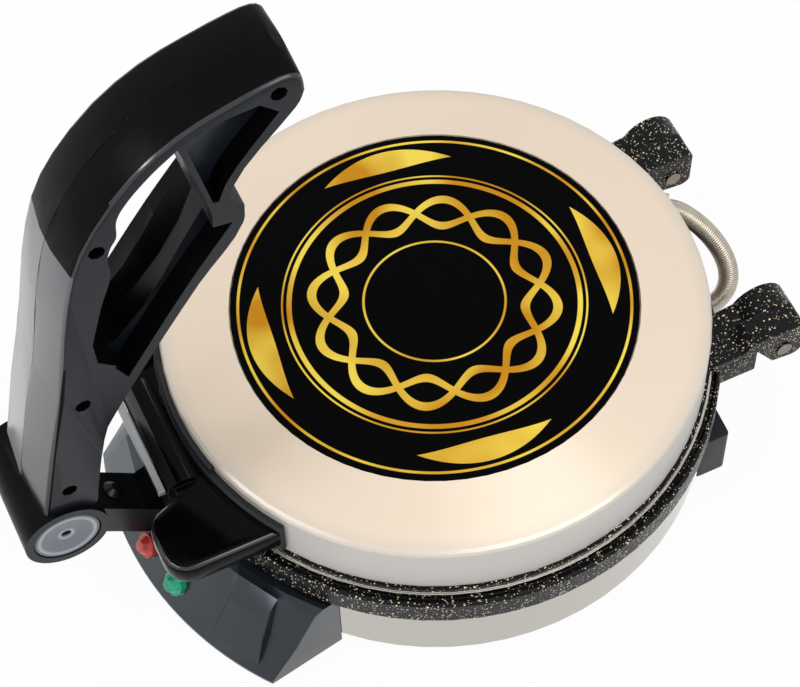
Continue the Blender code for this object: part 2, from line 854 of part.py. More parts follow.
def lid_cover():
    ring_inner = DISC_RADIUS + GAP
    edge = LID_EDGE_ROUND
    slope = LID_RING_RISE / (LID_RADIUS - ring_inner)
    shoulder = LID_TOP - slope * (LID_RADIUS - edge - ring_inner) - edge / 2
    profile = (
        (0, RECESS_FLOOR),
        (ring_inner, RECESS_FLOOR),
        (ring_inner + SHEET / 4, LID_TOP),
        (LID_RADIUS - edge, shoulder),
        (LID_RADIUS - edge / 3, shoulder - edge / 3),
        (LID_RADIUS, shoulder - edge),
        (LID_RADIUS, LID_BOTTOM),
        (LID_RADIUS - SHEET, LID_BOTTOM),
        (LID_RADIUS - SHEET, shoulder - edge - SHEET),
        (LID_RADIUS - edge - SHEET, shoulder - SHEET),
        (ring_inner, RECESS_FLOOR - SHEET),
        (0, RECESS_FLOOR - SHEET),
    )
    cover = turned("lid_cover", profile, LARGE_STEPS)
    start, direction = hose_end("lid")
    inside, outside = start - direction * 2 * OVERRUN, start + direction * OVERRUN
    cut(cover, cylinder("conduit hole in lid", HOSE_BORE, inside, outside))
    for side in (-1, 1):
        seat, inward = handle_screw_line(side)
        reach = inward * OVERRUN
        hole = cylinder("handle screw hole", SCREW_RADIUS + GAP, seat - reach, seat + reach)
        cut(cover, hole)
    finish(cover, steel, lid_hinge)


def lid_disc():
    low = RECESS_FLOOR + GAP
    top = low + DISC_THICKNESS
    profile = (
        (0, top),
        (DISC_RADIUS - SHEET / 4, top),
        (DISC_RADIUS, top - SHEET / 4),
        (DISC_RADIUS, low),
        (0, low),
    )
    finish(turned("lid_disc", profile, LARGE_STEPS), disc_black, lid_hinge)


def heater(name, height, body, opening):
    half = HEATER_OPENING_DEGREES / 2
    ring = arc(HEATER_RING_RADIUS, opening + half, opening + 360 - half, MEDIUM_STEPS)
    points = [Vector((x, y, height)) for x, y in ring]
    finish(tube(name, points, [HEATER_RADIUS] * len(points), 1), heater_steel, body)


def shield(name, level, rim_side, body):
    """A dished sheet on the posts. Its rim stands up or hangs down."""
    edge = level + rim_side * SHIELD_RIM
    flat, other = (level + SHEET, level) if rim_side < 0 else (level, level + SHEET)
    inner = SHIELD_RADIUS - SHEET
    profile = [
        (0, flat),
        (SHIELD_RADIUS, flat),
        (SHIELD_RADIUS, edge),
        (inner, edge),
        (inner, other),
        (0, other),
    ]
    if rim_side > 0:
        profile.reverse()
    plate = turned(name, profile, MEDIUM_STEPS)
    for index in range(POST_COUNT):
        place = polar(POST_RING_RADIUS, post_degrees(index), level)
        depth = Vector((0, 0, OVERRUN))
        cut(plate, cylinder("post hole", POST_RADIUS + GAP, place - depth, place + depth))
    finish(plate, shield_steel, body)


def post_degrees(index):
    return 90 + 360 * index / POST_COUNT + HEATER_OPENING_DEGREES


def posts(kind, low, high, body):
    for index in range(POST_COUNT):
        place = polar(POST_RING_RADIUS, post_degrees(index), 0)
        start = place + Vector((0, 0, low))
        end = place + Vector((0, 0, high))
        post = cylinder(f"{kind}_post_{index + 1}", POST_RADIUS, start, end)
        finish(post, heater_steel, body)


def heating():
    heater("lower_heater", LOWER_UNDERSIDE - GAP - HEATER_RADIUS, root, 90)
    heater("upper_heater", UPPER_TOPSIDE + GAP + HEATER_RADIUS, lid_hinge, 90)
    shield("lower_heat_shield", LOWER_UNDERSIDE - SHIELD_DROP, 1, root)
    shield("upper_heat_shield", UPPER_TOPSIDE + SHIELD_DROP, -1, lid_hinge)
    posts("lower", PAN_TOP + GAP, LOWER_UNDERSIDE - GAP, root)
    posts("upper", UPPER_TOPSIDE + GAP, RECESS_FLOOR - SHEET - GAP, lid_hinge)
    top = LOWER_UNDERSIDE - GAP
    finish(
        cylinder("thermostat", THERMOSTAT_RADIUS, (0, 0, top - THERMOSTAT_HEIGHT), (0, 0, top)),
        heater_steel,
        root,
    )
    place = polar(TERMINAL_RING_RADIUS, 90, PAN_TOP + GAP)
    half = Vector((TERMINAL_LENGTH / 2, TERMINAL_DEPTH / 2, 0))
    block = box("terminal_block", place - half, place + half + Vector((0, 0, TERMINAL_HEIGHT)))
    for share in (-1, 0, 1):
        hole = place + Vector((share * TERMINAL_LENGTH / 3, 0, TERMINAL_HEIGHT))
        low = hole - Vector((0, 0, TERMINAL_HEIGHT / 2))
        high = hole + Vector((0, 0, OVERRUN))
        cut(block, cylinder("terminal screw", TERMINAL_SCREW_RADIUS, low, high, SMALL_STEPS // 2))
    finish(block, white_plastic, root, smooth=False)


def hose_end(which):
    """Where the conduit meets the lid's or the base's wall, and the way it leaves it."""
    if which == "lid":
        x, height, radius = -HOSE_LID_TURN, HOSE_LID_HEIGHT, LID_RADIUS
        turn = math.radians(HOSE_LID_DEGREES)
    else:
        x, height, radius, turn = HOSE_BASE_TURN, HOSE_BASE_HEIGHT, BAND_RADIUS, 0
    start = Vector((x, math.sqrt(radius**2 - x**2), height))
    return start, Vector((math.sin(turn), math.cos(turn), 0))


def hose_points():
    lid_start, lid_way = hose_end("lid")
    base_start, base_way = hose_end("base")
    lead = FERRULE_LENGTH + GAP
    straight = 2 * HOSE_RADIUS
    first = lid_start + lid_way * lead
    last = base_start + base_way * lead
    drop = first.z - last.z
    route = []
    for across, out, down in HOSE_ROUTE_SHARES:
        x = lid_start.x + across * HOSE_SPAN
        y = BAND_RADIUS + out * HOSE_BULGE - GAP
        route.append(Vector((x, y, first.z - down * drop)))
    inner = smooth_run([first + lid_way * straight, *route, last + base_way * straight], 12)
    return [first, *inner, last]


def conduit():
    spaced = even_points(hose_points(), 2 * HOSE_RIBS)
    radii = [HOSE_RADIUS if index % 2 else HOSE_RADIUS - HOSE_RIB for index in range(len(spaced))]
    hose = tube("conduit", spaced, radii, 2)
    plain = even_points(hose_points(), 24)
    plain[0] += (plain[0] - plain[1]).normalized() * OVERRUN
    plain[-1] += (plain[-1] - plain[-2]).normalized() * OVERRUN
    combine(hose, tube("conduit bore", plain, [HOSE_BORE] * len(plain), 1), "DIFFERENCE", "MANIFOLD")
    finish(hose, hose_steel, root)


def ferrule(name, which, wall_radius, low, high, body):
    start, way = hose_end(which)
    nut = cylinder(name, FERRULE_RADIUS, start - way * OVERRUN, start + way * FERRULE_LENGTH)
    inside = cylinder("wall inside", wall_radius + GAP, (0, 0, low), (0, 0, high), LARGE_STEPS)
    outside = start + way * 2 * FERRULE_LENGTH
    bore = cylinder("ferrule bore", HOSE_BORE, start - way * 2 * OVERRUN, outside)
    finish(cut(nut, inside, bore), hose_steel, body)


def cord_gland():
    height = (BAND_BOTTOM + BAND_TOP) / 2
    inner = BAND_RADIUS - GLAND_LENGTH / 2
    outer = BAND_RADIUS + GLAND_LENGTH / 2
    seat = BAND_RADIUS + GAP
    gland = cylinder(
        "cord_gland",
        GLAND_RADIUS,
        polar(inner, GLAND_DEGREES, height),
        polar(outer, GLAND_DEGREES, height),
        end_radius=GLAND_RADIUS * 3 / 4,
    )
    flange = cylinder(
        "gland flange",
        GLAND_FLANGE,
        polar(seat - OVERRUN / 2, GLAND_DEGREES, height),
        polar(seat + GLAND_FLANGE_WIDTH, GLAND_DEGREES, height),
    )
    wall = cylinder("wall inside gland", BAND_RADIUS + GAP, (0, 0, 0), (0, 0, LID_TOP), LARGE_STEPS)
    cut(flange, wall)
    bore = cylinder(
        "gland bore",
        GLAND_BORE,
        polar(inner - OVERRUN, GLAND_DEGREES, height),
        polar(outer + OVERRUN, GLAND_DEGREES, height),
    )
    join(gland, flange)
    finish(cut(gland, bore), matte_plastic, root)


def panel_profile(inset):
    """Section of the flared skirt: (radius, height), with an inset for its hollow inside."""
    inner = BAND_RADIUS + GAP + inset
    top = FOOT_BOTTOM + PANEL_HEIGHT - inset
    bottom = FOOT_BOTTOM if inset == 0 else FOOT_BOTTOM - OVERRUN
    foot = PANEL_FOOT_RADIUS - inset
    crest = PANEL_TOP_RADIUS - inset
    edge = PANEL_EDGE
    flare = (foot - crest) / PANEL_HEIGHT
    return [
        (inner, bottom),
        (inner, top),
        (crest - edge, top),
        (crest + flare * edge / 2, top - edge / 2),
        (crest + flare * PANEL_HEIGHT / 2 - edge / 2, top - PANEL_HEIGHT / 2),
        (foot, FOOT_BOTTOM + edge / 2),
        (foot, bottom),
    ]


def lamp_line(side):
    """The point where a lamp leaves the skirt, and the way that it faces."""
    degrees = LAMP_CENTRE_DEGREES + side * LAMP_DEGREES
    flare = (PANEL_FOOT_RADIUS - PANEL_TOP_RADIUS) / PANEL_HEIGHT
    radius = PANEL_FOOT_RADIUS - (LAMP_HEIGHT - FOOT_BOTTOM) * flare - PANEL_EDGE / 2
    way = polar(1, degrees, flare).normalized()
    return polar(radius, degrees, LAMP_HEIGHT), way


def panel_form(name, inset):
    """The flared skirt between two upright ends that run parallel to its centre line."""
    half = PANEL_HALF_WIDTH - inset
    reach = math.degrees(math.asin((half + PANEL_EDGE) / BAND_RADIUS))
    low = PANEL_CENTRE_DEGREES - reach
    form = sector(name, panel_profile(inset), low, low + 2 * reach, MEDIUM_STEPS)
    turn = Matrix.Rotation(math.radians(PANEL_CENTRE_DEGREES), 4, "Z")
    corners = [
        turn @ Vector((along, across, height))
        for along in (BAND_RADIUS / 2, 2 * BAND_RADIUS)
        for across in (-half, half)
        for height in (-LID_TOP, LID_TOP)
    ]
    return keep_common(form, hull(name + " sides", corners))


def front_panel():
    panel = panel_form("front_panel", 0)
    cut(panel, panel_form("panel hollow", PANEL_WALL))
    for side in (-1, 1):
        degrees = PANEL_CENTRE_DEGREES + side * PANEL_BLOCK_DEGREES
        join(panel, panel_block(degrees), pad_boss(degrees))
    for side in (-1, 1):
        place, way = lamp_line(side)
        cut(panel, cylinder("lamp hole", LAMP_RADIUS, place - way * 2 * OVERRUN, place + way * OVERRUN))
    cut(panel, bracket_passage())
    finish(panel, gloss_plastic, root)


def panel_block(degrees):
    """The raised block over each end of the skirt, which slopes down to its foot."""
    turn = Matrix.Rotation(math.radians(degrees), 4, "Z")
    half = PANEL_BLOCK_HALF_WIDTH
    inner = BAND_RADIUS + GAP + PANEL_WALL / 2
    top = PANEL_BLOCK_TOP
    low = FOOT_BOTTOM + PANEL_BLOCK_FOOT
    crest = (inner + PANEL_BLOCK_REACH) / 2
    corners = []
    for across in (-half, half):
        corners.append((inner, across, low))
        corners.append((inner, across, top + PANEL_BLOCK_FOOT / 2))
        corners.append((crest, across, top + PANEL_BLOCK_FOOT / 2))
        corners.append((PANEL_BLOCK_REACH, across * BLOCK_CREST_SHARE, top - PANEL_EDGE))
        corners.append((PANEL_BLOCK_FOOT_REACH, across * BLOCK_FOOT_SHARE, low))
    return hull("panel block", [turn @ Vector(corner) for corner in corners])


def pad_boss(degrees):
    radius = BAND_RADIUS + GAP + PANEL_WALL + PAD_RADIUS
    start = polar(radius, degrees, FOOT_BOTTOM)
    top = start + Vector((0, 0, PANEL_HEIGHT / 2))
    return cylinder("pad boss", PAD_RADIUS + PANEL_WALL / 2, start, top)


def lamps():
    for name, side, look in (("lamp_red", -1, red_lens), ("lamp_green", 1, green_lens)):
        place, way = lamp_line(side)
        radius = LAMP_RADIUS - GAP
        lens = cylinder(name, radius, place - way * LAMP_DEPTH, place + way * LAMP_PROUD / 2)
        start = place + way * LAMP_PROUD / 3
        tip = place + way * LAMP_PROUD
        dome = cylinder("lens dome", radius - GAP, start, tip, end_radius=radius / 2)
        finish(join(lens, dome), look, root)


def rear_feet():
    for name, side in (("rear_foot_right", 1), ("rear_foot_left", -1)):
        wall = BAND_RADIUS + GAP
        start = math.degrees(math.asin(REAR_FOOT_SIDE_START / wall))
        end = math.degrees(math.acos(REAR_FOOT_INNER / wall))
        corner = REAR_FOOT_ROUND
        outline = [
            *arc(wall, end, start, 5),
            (REAR_FOOT_SIDE, REAR_FOOT_SIDE_START + corner),
            *arc(corner, 0, 90, 3, (REAR_FOOT_SIDE - corner, REAR_FOOT_REAR - corner)),
        ]
        outline = [(side * x, y) for x, y in outline]
        height = FOOT_BOTTOM + REAR_FOOT_HEIGHT / 2
        foot = outline_solid(name, [outline], REAR_FOOT_HEIGHT / 2, plan_view(height))
        finish(foot, matte_plastic, root)


def handle_screw_line(side):
    """The seat of a handle screw on the lid wall's inner side, and the way that it points out."""
    x = side * HANDLE_SCREW_X
    radius = LID_RADIUS - SHEET - GAP
    seat = Vector((x, -math.sqrt(radius**2 - x**2), HANDLE_TOP - HANDLE_THICKNESS / 2))
    return seat, Vector((seat.x, seat.y, 0)).normalized()


def backplate_outer():
    return LID_RADIUS + GAP + BACKPLATE_THICKNESS


def handle_half_degrees():
    return math.degrees(math.asin(HANDLE_HALF_LENGTH / backplate_outer()))


def handle_outline():
    rear = backplate_outer() + GAP
    reach = math.degrees(math.asin(HANDLE_HALF_LENGTH / rear))
    corner = (HANDLE_HALF_LENGTH - HANDLE_PAD_INNER) / 3
    pad_side = HANDLE_HALF_LENGTH - corner
    half = [
        *arc(rear, -90, -90 + reach, 8),
        *arc(corner, 0, -90, 4, (pad_side, -HANDLE_PAD_FRONT + corner)),
        *arc(corner, -90, -150, 3, (HANDLE_PAD_INNER + corner, -HANDLE_PAD_FRONT + corner)),
        (HANDLE_PAD_INNER - corner / 4, -HANDLE_NECK_FRONT - SHEET),
        (HANDLE_BAR_HALF_LENGTH, -HANDLE_NECK_FRONT),
    ]
    return half[::-1][:-1] + [(-x, y) for x, y in half]


def lid_handle():
    inset = HANDLE_ROUND
    outline = offset_closed(handle_outline(), inset)
    middle = HANDLE_TOP - HANDLE_THICKNESS / 2
    handle = outline_solid("lid_handle", [outline], HANDLE_THICKNESS / 2, plan_view(middle), inset)
    rear = backplate_outer() + GAP
    neck_low = HANDLE_TOP - HANDLE_NECK_DROP
    neck = box(
        "handle neck cut",
        (-HANDLE_PAD_INNER, -HANDLE_PAD_FRONT, neck_low),
        (HANDLE_PAD_INNER, 0, HANDLE_TOP + OVERRUN),
    )
    bar_y = -HANDLE_BAR_FRONT + HANDLE_BAR_RADIUS
    bar = cylinder(
        "handle bar",
        HANDLE_BAR_RADIUS,
        (-HANDLE_BAR_HALF_LENGTH, bar_y, middle),
        (HANDLE_BAR_HALF_LENGTH, bar_y, middle),
    )
    wall = cylinder("backplate side", rear, (0, 0, 0), (0, 0, LID_TOP), LARGE_STEPS)
    cut(handle, neck)
    join(handle, bar)
    cut(handle, wall)
    for side in (-1, 1):
        seat, outward = handle_screw_line(side)
        end = seat + outward * (HANDLE_SCREW_BITE + OVERRUN)
        cut(handle, cylinder("handle pilot", SCREW_RADIUS + GAP, seat, end))
    finish(handle, gloss_plastic, lid_hinge)


def offset_closed(points, distance):
    """A closed outline drawn in by a distance. Its points run anticlockwise."""
    moved = []
    for index, point in enumerate(points):
        before = (Vector(point) - Vector(points[index - 1])).normalized()
        after = (Vector(points[(index + 1) % len(points)]) - Vector(point)).normalized()
        normal = Vector((-(before.y + after.y), before.x + after.x)).normalized()
        spread = max(normal.dot(Vector((-before.y, before.x))), 1 / 2)
        moved.append((point[0] + normal.x * distance / spread, point[1] + normal.y * distance / spread))
    return moved


def handle_backplate():
    inner, outer = LID_RADIUS + GAP, backplate_outer()
    reach = handle_half_degrees()
    low, high = BACKPLATE_BOTTOM, BACKPLATE_BOTTOM + BACKPLATE_HEIGHT
    profile = [(inner, low), (inner, high), (outer - SHEET, high), (outer, high - SHEET), (outer, low)]
    plate = sector("handle_backplate", profile, -90 - reach, -90 + reach, 20)
    crest = high + BACKPLATE_CREST
    crest_profile = [
        (inner, low + SHEET),
        (inner, crest),
        (outer - SHEET, crest),
        (outer - SHEET / 2, low + SHEET),
    ]
    half = BACKPLATE_CREST_DEGREES
    join(plate, sector("crest", crest_profile, -90 - half, -90 + half, 8))
    for side in (-1, 1):
        seat, outward = handle_screw_line(side)
        cut(plate, cylinder("backplate hole", SCREW_RADIUS + GAP, seat, seat + outward * 2 * OVERRUN))
    finish(plate, matte_plastic, lid_hinge)


def handle_strip():
    front = -HANDLE_BAR_FRONT - GAP
    middle = HANDLE_TOP - HANDLE_THICKNESS / 2
    strip = box(
        "handle_strip",
        (-STRIP_HALF_LENGTH, front - STRIP_THICKNESS, middle - STRIP_WIDTH / 2),
        (STRIP_HALF_LENGTH, front, middle + STRIP_WIDTH / 2),
    )
    finish(strip, steel, lid_hinge, smooth=False)


def handle_screws():
    for name, side in (("handle_screw_left", -1), ("handle_screw_right", 1)):
        seat, outward = handle_screw_line(side)
        screw = headed_screw(
            name, seat, outward, SCREW_HEAD_RADIUS, SCREW_HEAD_HEIGHT, SCREW_RADIUS, HANDLE_SCREW_BITE
        )
        finish(screw, pin_steel, lid_hinge)


def lever_points(shares):
    return [(PIVOT_Y + y * LEVER_DEPTH, PIVOT_HEIGHT + z * LEVER_HEIGHT) for y, z in shares]


def lever_half_width(height):
    """Half the lever's width, which narrows from the leg to the tip."""
    share = (height - PIVOT_HEIGHT) / LEVER_HEIGHT
    along = min(max((share - TAPER_START_SHARE) / (1 - TAPER_START_SHARE), 0), 1)
    return LEVER_HALF_WIDTH + (LEVER_TIP_HALF_WIDTH - LEVER_HALF_WIDTH) * along


def lever_form():
    """The bar that both shells are cut from, whole, narrowing to its tip, with a ridge in front."""
    front = [tuple(point) for point in smooth_run([Vector(p) for p in lever_points(FRONT_SHARES)], 2)]
    rear = lever_points(REAR_SHARES)
    drawn_in = offset_open(front, -LEVER_ROUND)
    pushed_out = [(y + LEVER_REAR_SPARE, z - LEVER_REAR_SPARE / 2) for y, z in (rear[0], rear[-1])]
    outline = [*drawn_in, *pushed_out]
    form = outline_solid("lever form", [outline], LEVER_HALF_WIDTH, side_view(), LEVER_ROUND)
    shape = bmesh.new()
    shape.from_mesh(form.data)
    geometry = [*shape.verts, *shape.edges, *shape.faces]
    bmesh.ops.bisect_plane(shape, geom=geometry, plane_co=(0, 0, 0), plane_no=(1, 0, 0), dist=GAP / 10)
    heart = Vector((PIVOT_Y + LEVER_DEPTH, PIVOT_HEIGHT + LEVER_HEIGHT / 2))
    for vert in shape.verts:
        away = Vector((vert.co.y, vert.co.z)) - heart
        if abs(vert.co.x) < GAP:
            vert.co.y += away.x / away.length * LEVER_RIDGE
            vert.co.z += away.y / away.length * LEVER_RIDGE
        vert.co.x *= lever_half_width(vert.co.z) / LEVER_HALF_WIDTH
    shape.to_mesh(form.data)
    shape.free()
    return form


def lever_trim():
    """Side view of the lever with its rear edge and the finger slot, thick enough to cut the form."""
    front = lever_points(FRONT_SHARES)
    wide = offset_open(front, LEVER_ROUND)
    rear = lever_points(REAR_SHARES)
    foot = [(PIVOT_Y + BARREL_BORE / 2, PIVOT_HEIGHT), (PIVOT_Y - BARREL_BORE / 2, PIVOT_HEIGHT)]
    slot = lever_points(SLOT_SHARES)
    return outline_solid("lever trim", [[*wide, *rear, *foot], slot], LEVER_HALF_WIDTH * 2, side_view())


def barrel_window():
    """The opening at the barrel's rear, through which the bracket reaches the pivot."""
    fan = arc(2 * BARREL_RADIUS, WINDOW_LOW_DEGREES, WINDOW_HIGH_DEGREES, 6, (PIVOT_Y, PIVOT_HEIGHT))
    outline = [(PIVOT_Y, PIVOT_HEIGHT), *fan]
    return outline_solid("barrel window", [outline], BARREL_BORE_HALF, side_view())


def lever_shell(name, side):
    """One moulded half of the lever: its half of the form, the barrel end, pockets and screw holes."""
    reach = 2 * BARREL_HALF_LENGTH
    inner = side * GAP / 2
    shell = keep_common(lever_form(), lever_trim(), SHELL_SOLVER)
    shell.name = name
    barrel = cylinder(
        "barrel",
        BARREL_RADIUS,
        (-BARREL_HALF_LENGTH, PIVOT_Y, PIVOT_HEIGHT),
        (BARREL_HALF_LENGTH, PIVOT_Y, PIVOT_HEIGHT),
        MEDIUM_STEPS,
    )
    join(shell, barrel, solver=SHELL_SOLVER)
    bore = cylinder(
        "barrel bore",
        BARREL_BORE,
        (-BARREL_BORE_HALF, PIVOT_Y, PIVOT_HEIGHT),
        (BARREL_BORE_HALF, PIVOT_Y, PIVOT_HEIGHT),
        MEDIUM_STEPS,
    )
    cut(shell, bore, barrel_window(), solver=SHELL_SOLVER)
    recess = cylinder(
        "cap recess",
        CAP_RADIUS + GAP,
        (side * (BARREL_HALF_LENGTH - CAP_DEPTH), PIVOT_Y, PIVOT_HEIGHT),
        (side * reach, PIVOT_Y, PIVOT_HEIGHT),
        MEDIUM_STEPS,
    )
    pin_hole = cylinder(
        "pivot hole",
        PIVOT_PIN_RADIUS + GAP,
        (-side * reach, PIVOT_Y, PIVOT_HEIGHT),
        (side * reach, PIVOT_Y, PIVOT_HEIGHT),
    )
    cut(shell, recess, pin_hole, solver=SHELL_SOLVER)
    for shares in (BAR_POCKET_SHARES, TIP_POCKET_SHARES):
        middle = side * (LEVER_WEB_HALF + reach) / 2
        half = (reach - LEVER_WEB_HALF) / 2
        pocket = outline_solid("pocket", [lever_points(shares)], half, side_view(middle))
        cut(shell, pocket, solver=SHELL_SOLVER)
    for y, z in lever_points(SCREW_SHARES):
        seat = (side * LEVER_SCREW_SEAT, y, z)
        recess = cylinder("screw recess", LEVER_SCREW_HOLE, seat, (side * reach, y, z), SMALL_STEPS // 2)
        if side > 0:
            far = (side * reach, y, z)
        else:
            far = (side * LEVER_SCREW_BITE, y, z)
        hole = cylinder("screw hole", SCREW_RADIUS + GAP, (-side * OVERRUN, y, z), far, SMALL_STEPS // 2)
        cut(shell, recess, hole, solver=SHELL_SOLVER)
    low = (min(inner, side * reach), PIVOT_Y - LEVER_DEPTH, 0)
    high = (max(inner, side * reach), PIVOT_Y + 2 * LEVER_DEPTH, 2 * (PIVOT_HEIGHT + LEVER_HEIGHT))
    keep_common(shell, box("shell side", low, high), SHELL_SOLVER)
    finish(shell, gloss_plastic, lever_pivot)


def pivot_caps():
    for name, side in (("pivot_cap_left", -1), ("pivot_cap_right", 1)):
        out = Vector((side, 0, 0))
        floor = PIVOT_POINT + out * (BARREL_HALF_LENGTH - CAP_DEPTH + GAP)
        face = PIVOT_POINT + out * (BARREL_HALF_LENGTH - GAP)
        cap = cylinder(name, CAP_RADIUS, floor, face, MEDIUM_STEPS)
        dish = cylinder(
            "cap dish",
            CAP_RADIUS * CAP_DISH_SHARE,
            floor + out * CAP_WALL,
            face + out * GAP,
            MEDIUM_STEPS,
            CAP_RADIUS - CAP_WALL,
        )
        hole = cylinder("cap hole", CAP_HOLE, floor - out * OVERRUN, face + out * OVERRUN)
        finish(cut(cap, dish, hole), cap_grey, lever_pivot)


def pivot_pin():
    half = Vector((BARREL_HALF_LENGTH - CAP_DEPTH - GAP, 0, 0))
    pin = cylinder("pivot_pin", PIVOT_PIN_RADIUS, PIVOT_POINT - half, PIVOT_POINT + half)
    finish(pin, pin_steel, root)


def lever_screws():
    for index, (y, z) in enumerate(lever_points(SCREW_SHARES)):
        seat = (LEVER_SCREW_SEAT + GAP, y, z)
        length = LEVER_SCREW_SEAT + LEVER_SCREW_BITE
        screw = headed_screw(
            f"lever_screw_{index + 1}",
            seat,
            (-1, 0, 0),
            SCREW_HEAD_RADIUS,
            SCREW_HEAD_HEIGHT,
            SCREW_RADIUS,
            length - GAP,
        )
        finish(screw, pin_steel, lever_pivot)


def bracket_axes():
    """The bracket's own directions in the side view: along its arm and square to it, upwards."""
    turn = math.radians(BRACKET_DEGREES)
    return Vector((math.cos(turn), -math.sin(turn))), Vector((math.sin(turn), math.cos(turn)))


def bracket_point(along, up):
    run, rise = bracket_axes()
    place = Vector((PIVOT_Y, PIVOT_HEIGHT)) + run * along + rise * up
    return (place.x, place.y)


def bracket_screw_height():
    fall = (PIVOT_FRONT - BAND_RADIUS - GAP) * math.tan(math.radians(BRACKET_DEGREES))
    drop = BRACKET_DROP / math.cos(math.radians(BRACKET_DEGREES))
    return PIVOT_HEIGHT - fall - drop - BRACKET_SHEET - SCREW_HEAD_RADIUS * 3 / 2


def bracket_outline():
    low = -BRACKET_DROP - BRACKET_FLANGE
    eye = [
        bracket_point(BRACKET_EYE * math.cos(turn), BRACKET_EYE * math.sin(turn))
        for turn in (math.radians(45 + 270 * step / SMALL_STEPS) for step in range(SMALL_STEPS + 1))
    ]
    return [
        *eye,
        bracket_point(BRACKET_NECK, -BRACKET_NECK_LOW),
        bracket_point(BRACKET_SHOULDER, low),
        bracket_point(BRACKET_LENGTH, low),
        bracket_point(BRACKET_LENGTH, -BRACKET_DROP),
        bracket_point(BRACKET_NECK, -BRACKET_DROP),
    ]


def lever_bracket():
    arm = outline_solid("lever_bracket", [bracket_outline()], BRACKET_HALF_WIDTH, side_view())
    roof = -BRACKET_DROP - BRACKET_SHEET
    deep = -2 * BRACKET_FLANGE
    channel = [
        bracket_point(-2 * BRACKET_EYE, 2 * BRACKET_EYE),
        bracket_point(-2 * BRACKET_EYE, deep),
        bracket_point(2 * BRACKET_LENGTH, deep),
        bracket_point(2 * BRACKET_LENGTH, roof),
        bracket_point(BRACKET_NECK + BRACKET_SHEET, roof),
        bracket_point(BRACKET_NECK + BRACKET_SHEET, 2 * BRACKET_EYE),
    ]
    inside = outline_solid("bracket channel", [channel], BRACKET_HALF_WIDTH - BRACKET_SHEET, side_view())
    plate_front = BAND_RADIUS + GAP + BRACKET_SHEET
    back = box(
        "behind bracket plate",
        (-BRACKET_HALF_WIDTH * 2, -plate_front, -LID_TOP),
        (BRACKET_HALF_WIDTH * 2, 0, LID_TOP),
    )
    combine(inside, back, "DIFFERENCE")
    top = Vector((0, 0, LID_TOP))
    wall = cylinder("wall inside bracket", BAND_RADIUS + GAP, -top, top, LARGE_STEPS)
    floor = box(
        "floor under bracket",
        (-BRACKET_HALF_WIDTH * 2, PIVOT_Y, -LID_TOP),
        (BRACKET_HALF_WIDTH * 2, 0, FOOT_BOTTOM + PANEL_EDGE),
    )
    pin_hole = cylinder(
        "bracket eye",
        PIVOT_PIN_RADIUS + GAP,
        (-BRACKET_HALF_WIDTH * 2, PIVOT_Y, PIVOT_HEIGHT),
        (BRACKET_HALF_WIDTH * 2, PIVOT_Y, PIVOT_HEIGHT),
    )
    height = bracket_screw_height()
    screw_hole = cylinder(
        "bracket screw hole",
        SCREW_RADIUS + GAP,
        (0, -BAND_RADIUS + OVERRUN, height),
        (0, -BAND_RADIUS - 2 * OVERRUN, height),
    )
    seat, down = bolt_line()
    bolt_hole = cylinder("bolt hole", BOLT_RADIUS + GAP, seat - down * OVERRUN, seat + down * OVERRUN)
    cut(arm, inside, wall, floor, pin_hole, screw_hole, bolt_hole)
    finish(arm, black_steel, root)


def bolt_line():
    y, z = bracket_point(BOLT_ALONG, -BRACKET_DROP)
    _, rise = bracket_axes()
    return Vector((0, y, z)), Vector((0, -rise.x, -rise.y))


def bracket_fasteners():
    seat, down = bolt_line()
    seat -= down * GAP
    length = GAP + BRACKET_SHEET + GAP + NUT_HEIGHT + SHEET
    head = cylinder(
        "bracket_bolt",
        BOLT_HEAD_RADIUS,
        seat,
        seat - down * BOLT_HEAD_HEIGHT,
        SMALL_STEPS,
        BOLT_HEAD_RADIUS * BOLT_CREST_SHARE,
    )
    shank = cylinder("bolt shank", BOLT_RADIUS, seat - down * BOLT_HEAD_HEIGHT / 2, seat + down * length)
    finish(join(head, shank), black_steel, root)
    top = seat + down * (2 * GAP + BRACKET_SHEET)
    nut = cylinder("bracket_nut", NUT_RADIUS, top, top + down * NUT_HEIGHT, NUT_SIDES)
    hole = cylinder("nut hole", BOLT_RADIUS + GAP, top - down * OVERRUN, top + down * 2 * OVERRUN)
    finish(cut(nut, hole), pin_steel, root, smooth=False)
    wall_seat = (0, -BAND_RADIUS - GAP - BRACKET_SHEET - GAP, bracket_screw_height())
    screw = headed_screw(
        "bracket_screw",
        wall_seat,
        (0, 1, 0),
        SCREW_HEAD_RADIUS,
        SCREW_HEAD_HEIGHT,
        SCREW_RADIUS,
        BRACKET_SHEET + OVERRUN,
    )
    finish(screw, pin_steel, root)


def bracket_passage():
    """The opening in the skirt that the bracket goes through, a little wider than its arm."""
    gap = BRACKET_SLOT_GAP
    low = -BRACKET_DROP - BRACKET_FLANGE - gap
    outline = [
        bracket_point(0, gap - BRACKET_DROP),
        bracket_point(0, low),
        bracket_point(2 * BRACKET_LENGTH, low),
        bracket_point(2 * BRACKET_LENGTH, gap - BRACKET_DROP),
    ]
    return outline_solid("bracket passage", [outline], BRACKET_HALF_WIDTH + gap, side_view())


def empty(name, place, parent=None):
    item = bpy.data.objects.new(name, None)
    item.location = place
    parts.objects.link(item)
    bpy.context.view_layer.update()
    if parent:
        item.parent = parent
        item.matrix_parent_inverse = parent.matrix_world.inverted()
    bpy.context.view_layer.update()
    return item


clear_scene()
parts = new_collection("electric_roti_maker")
cutters = new_collection("cutters")
cutters.hide_render = True

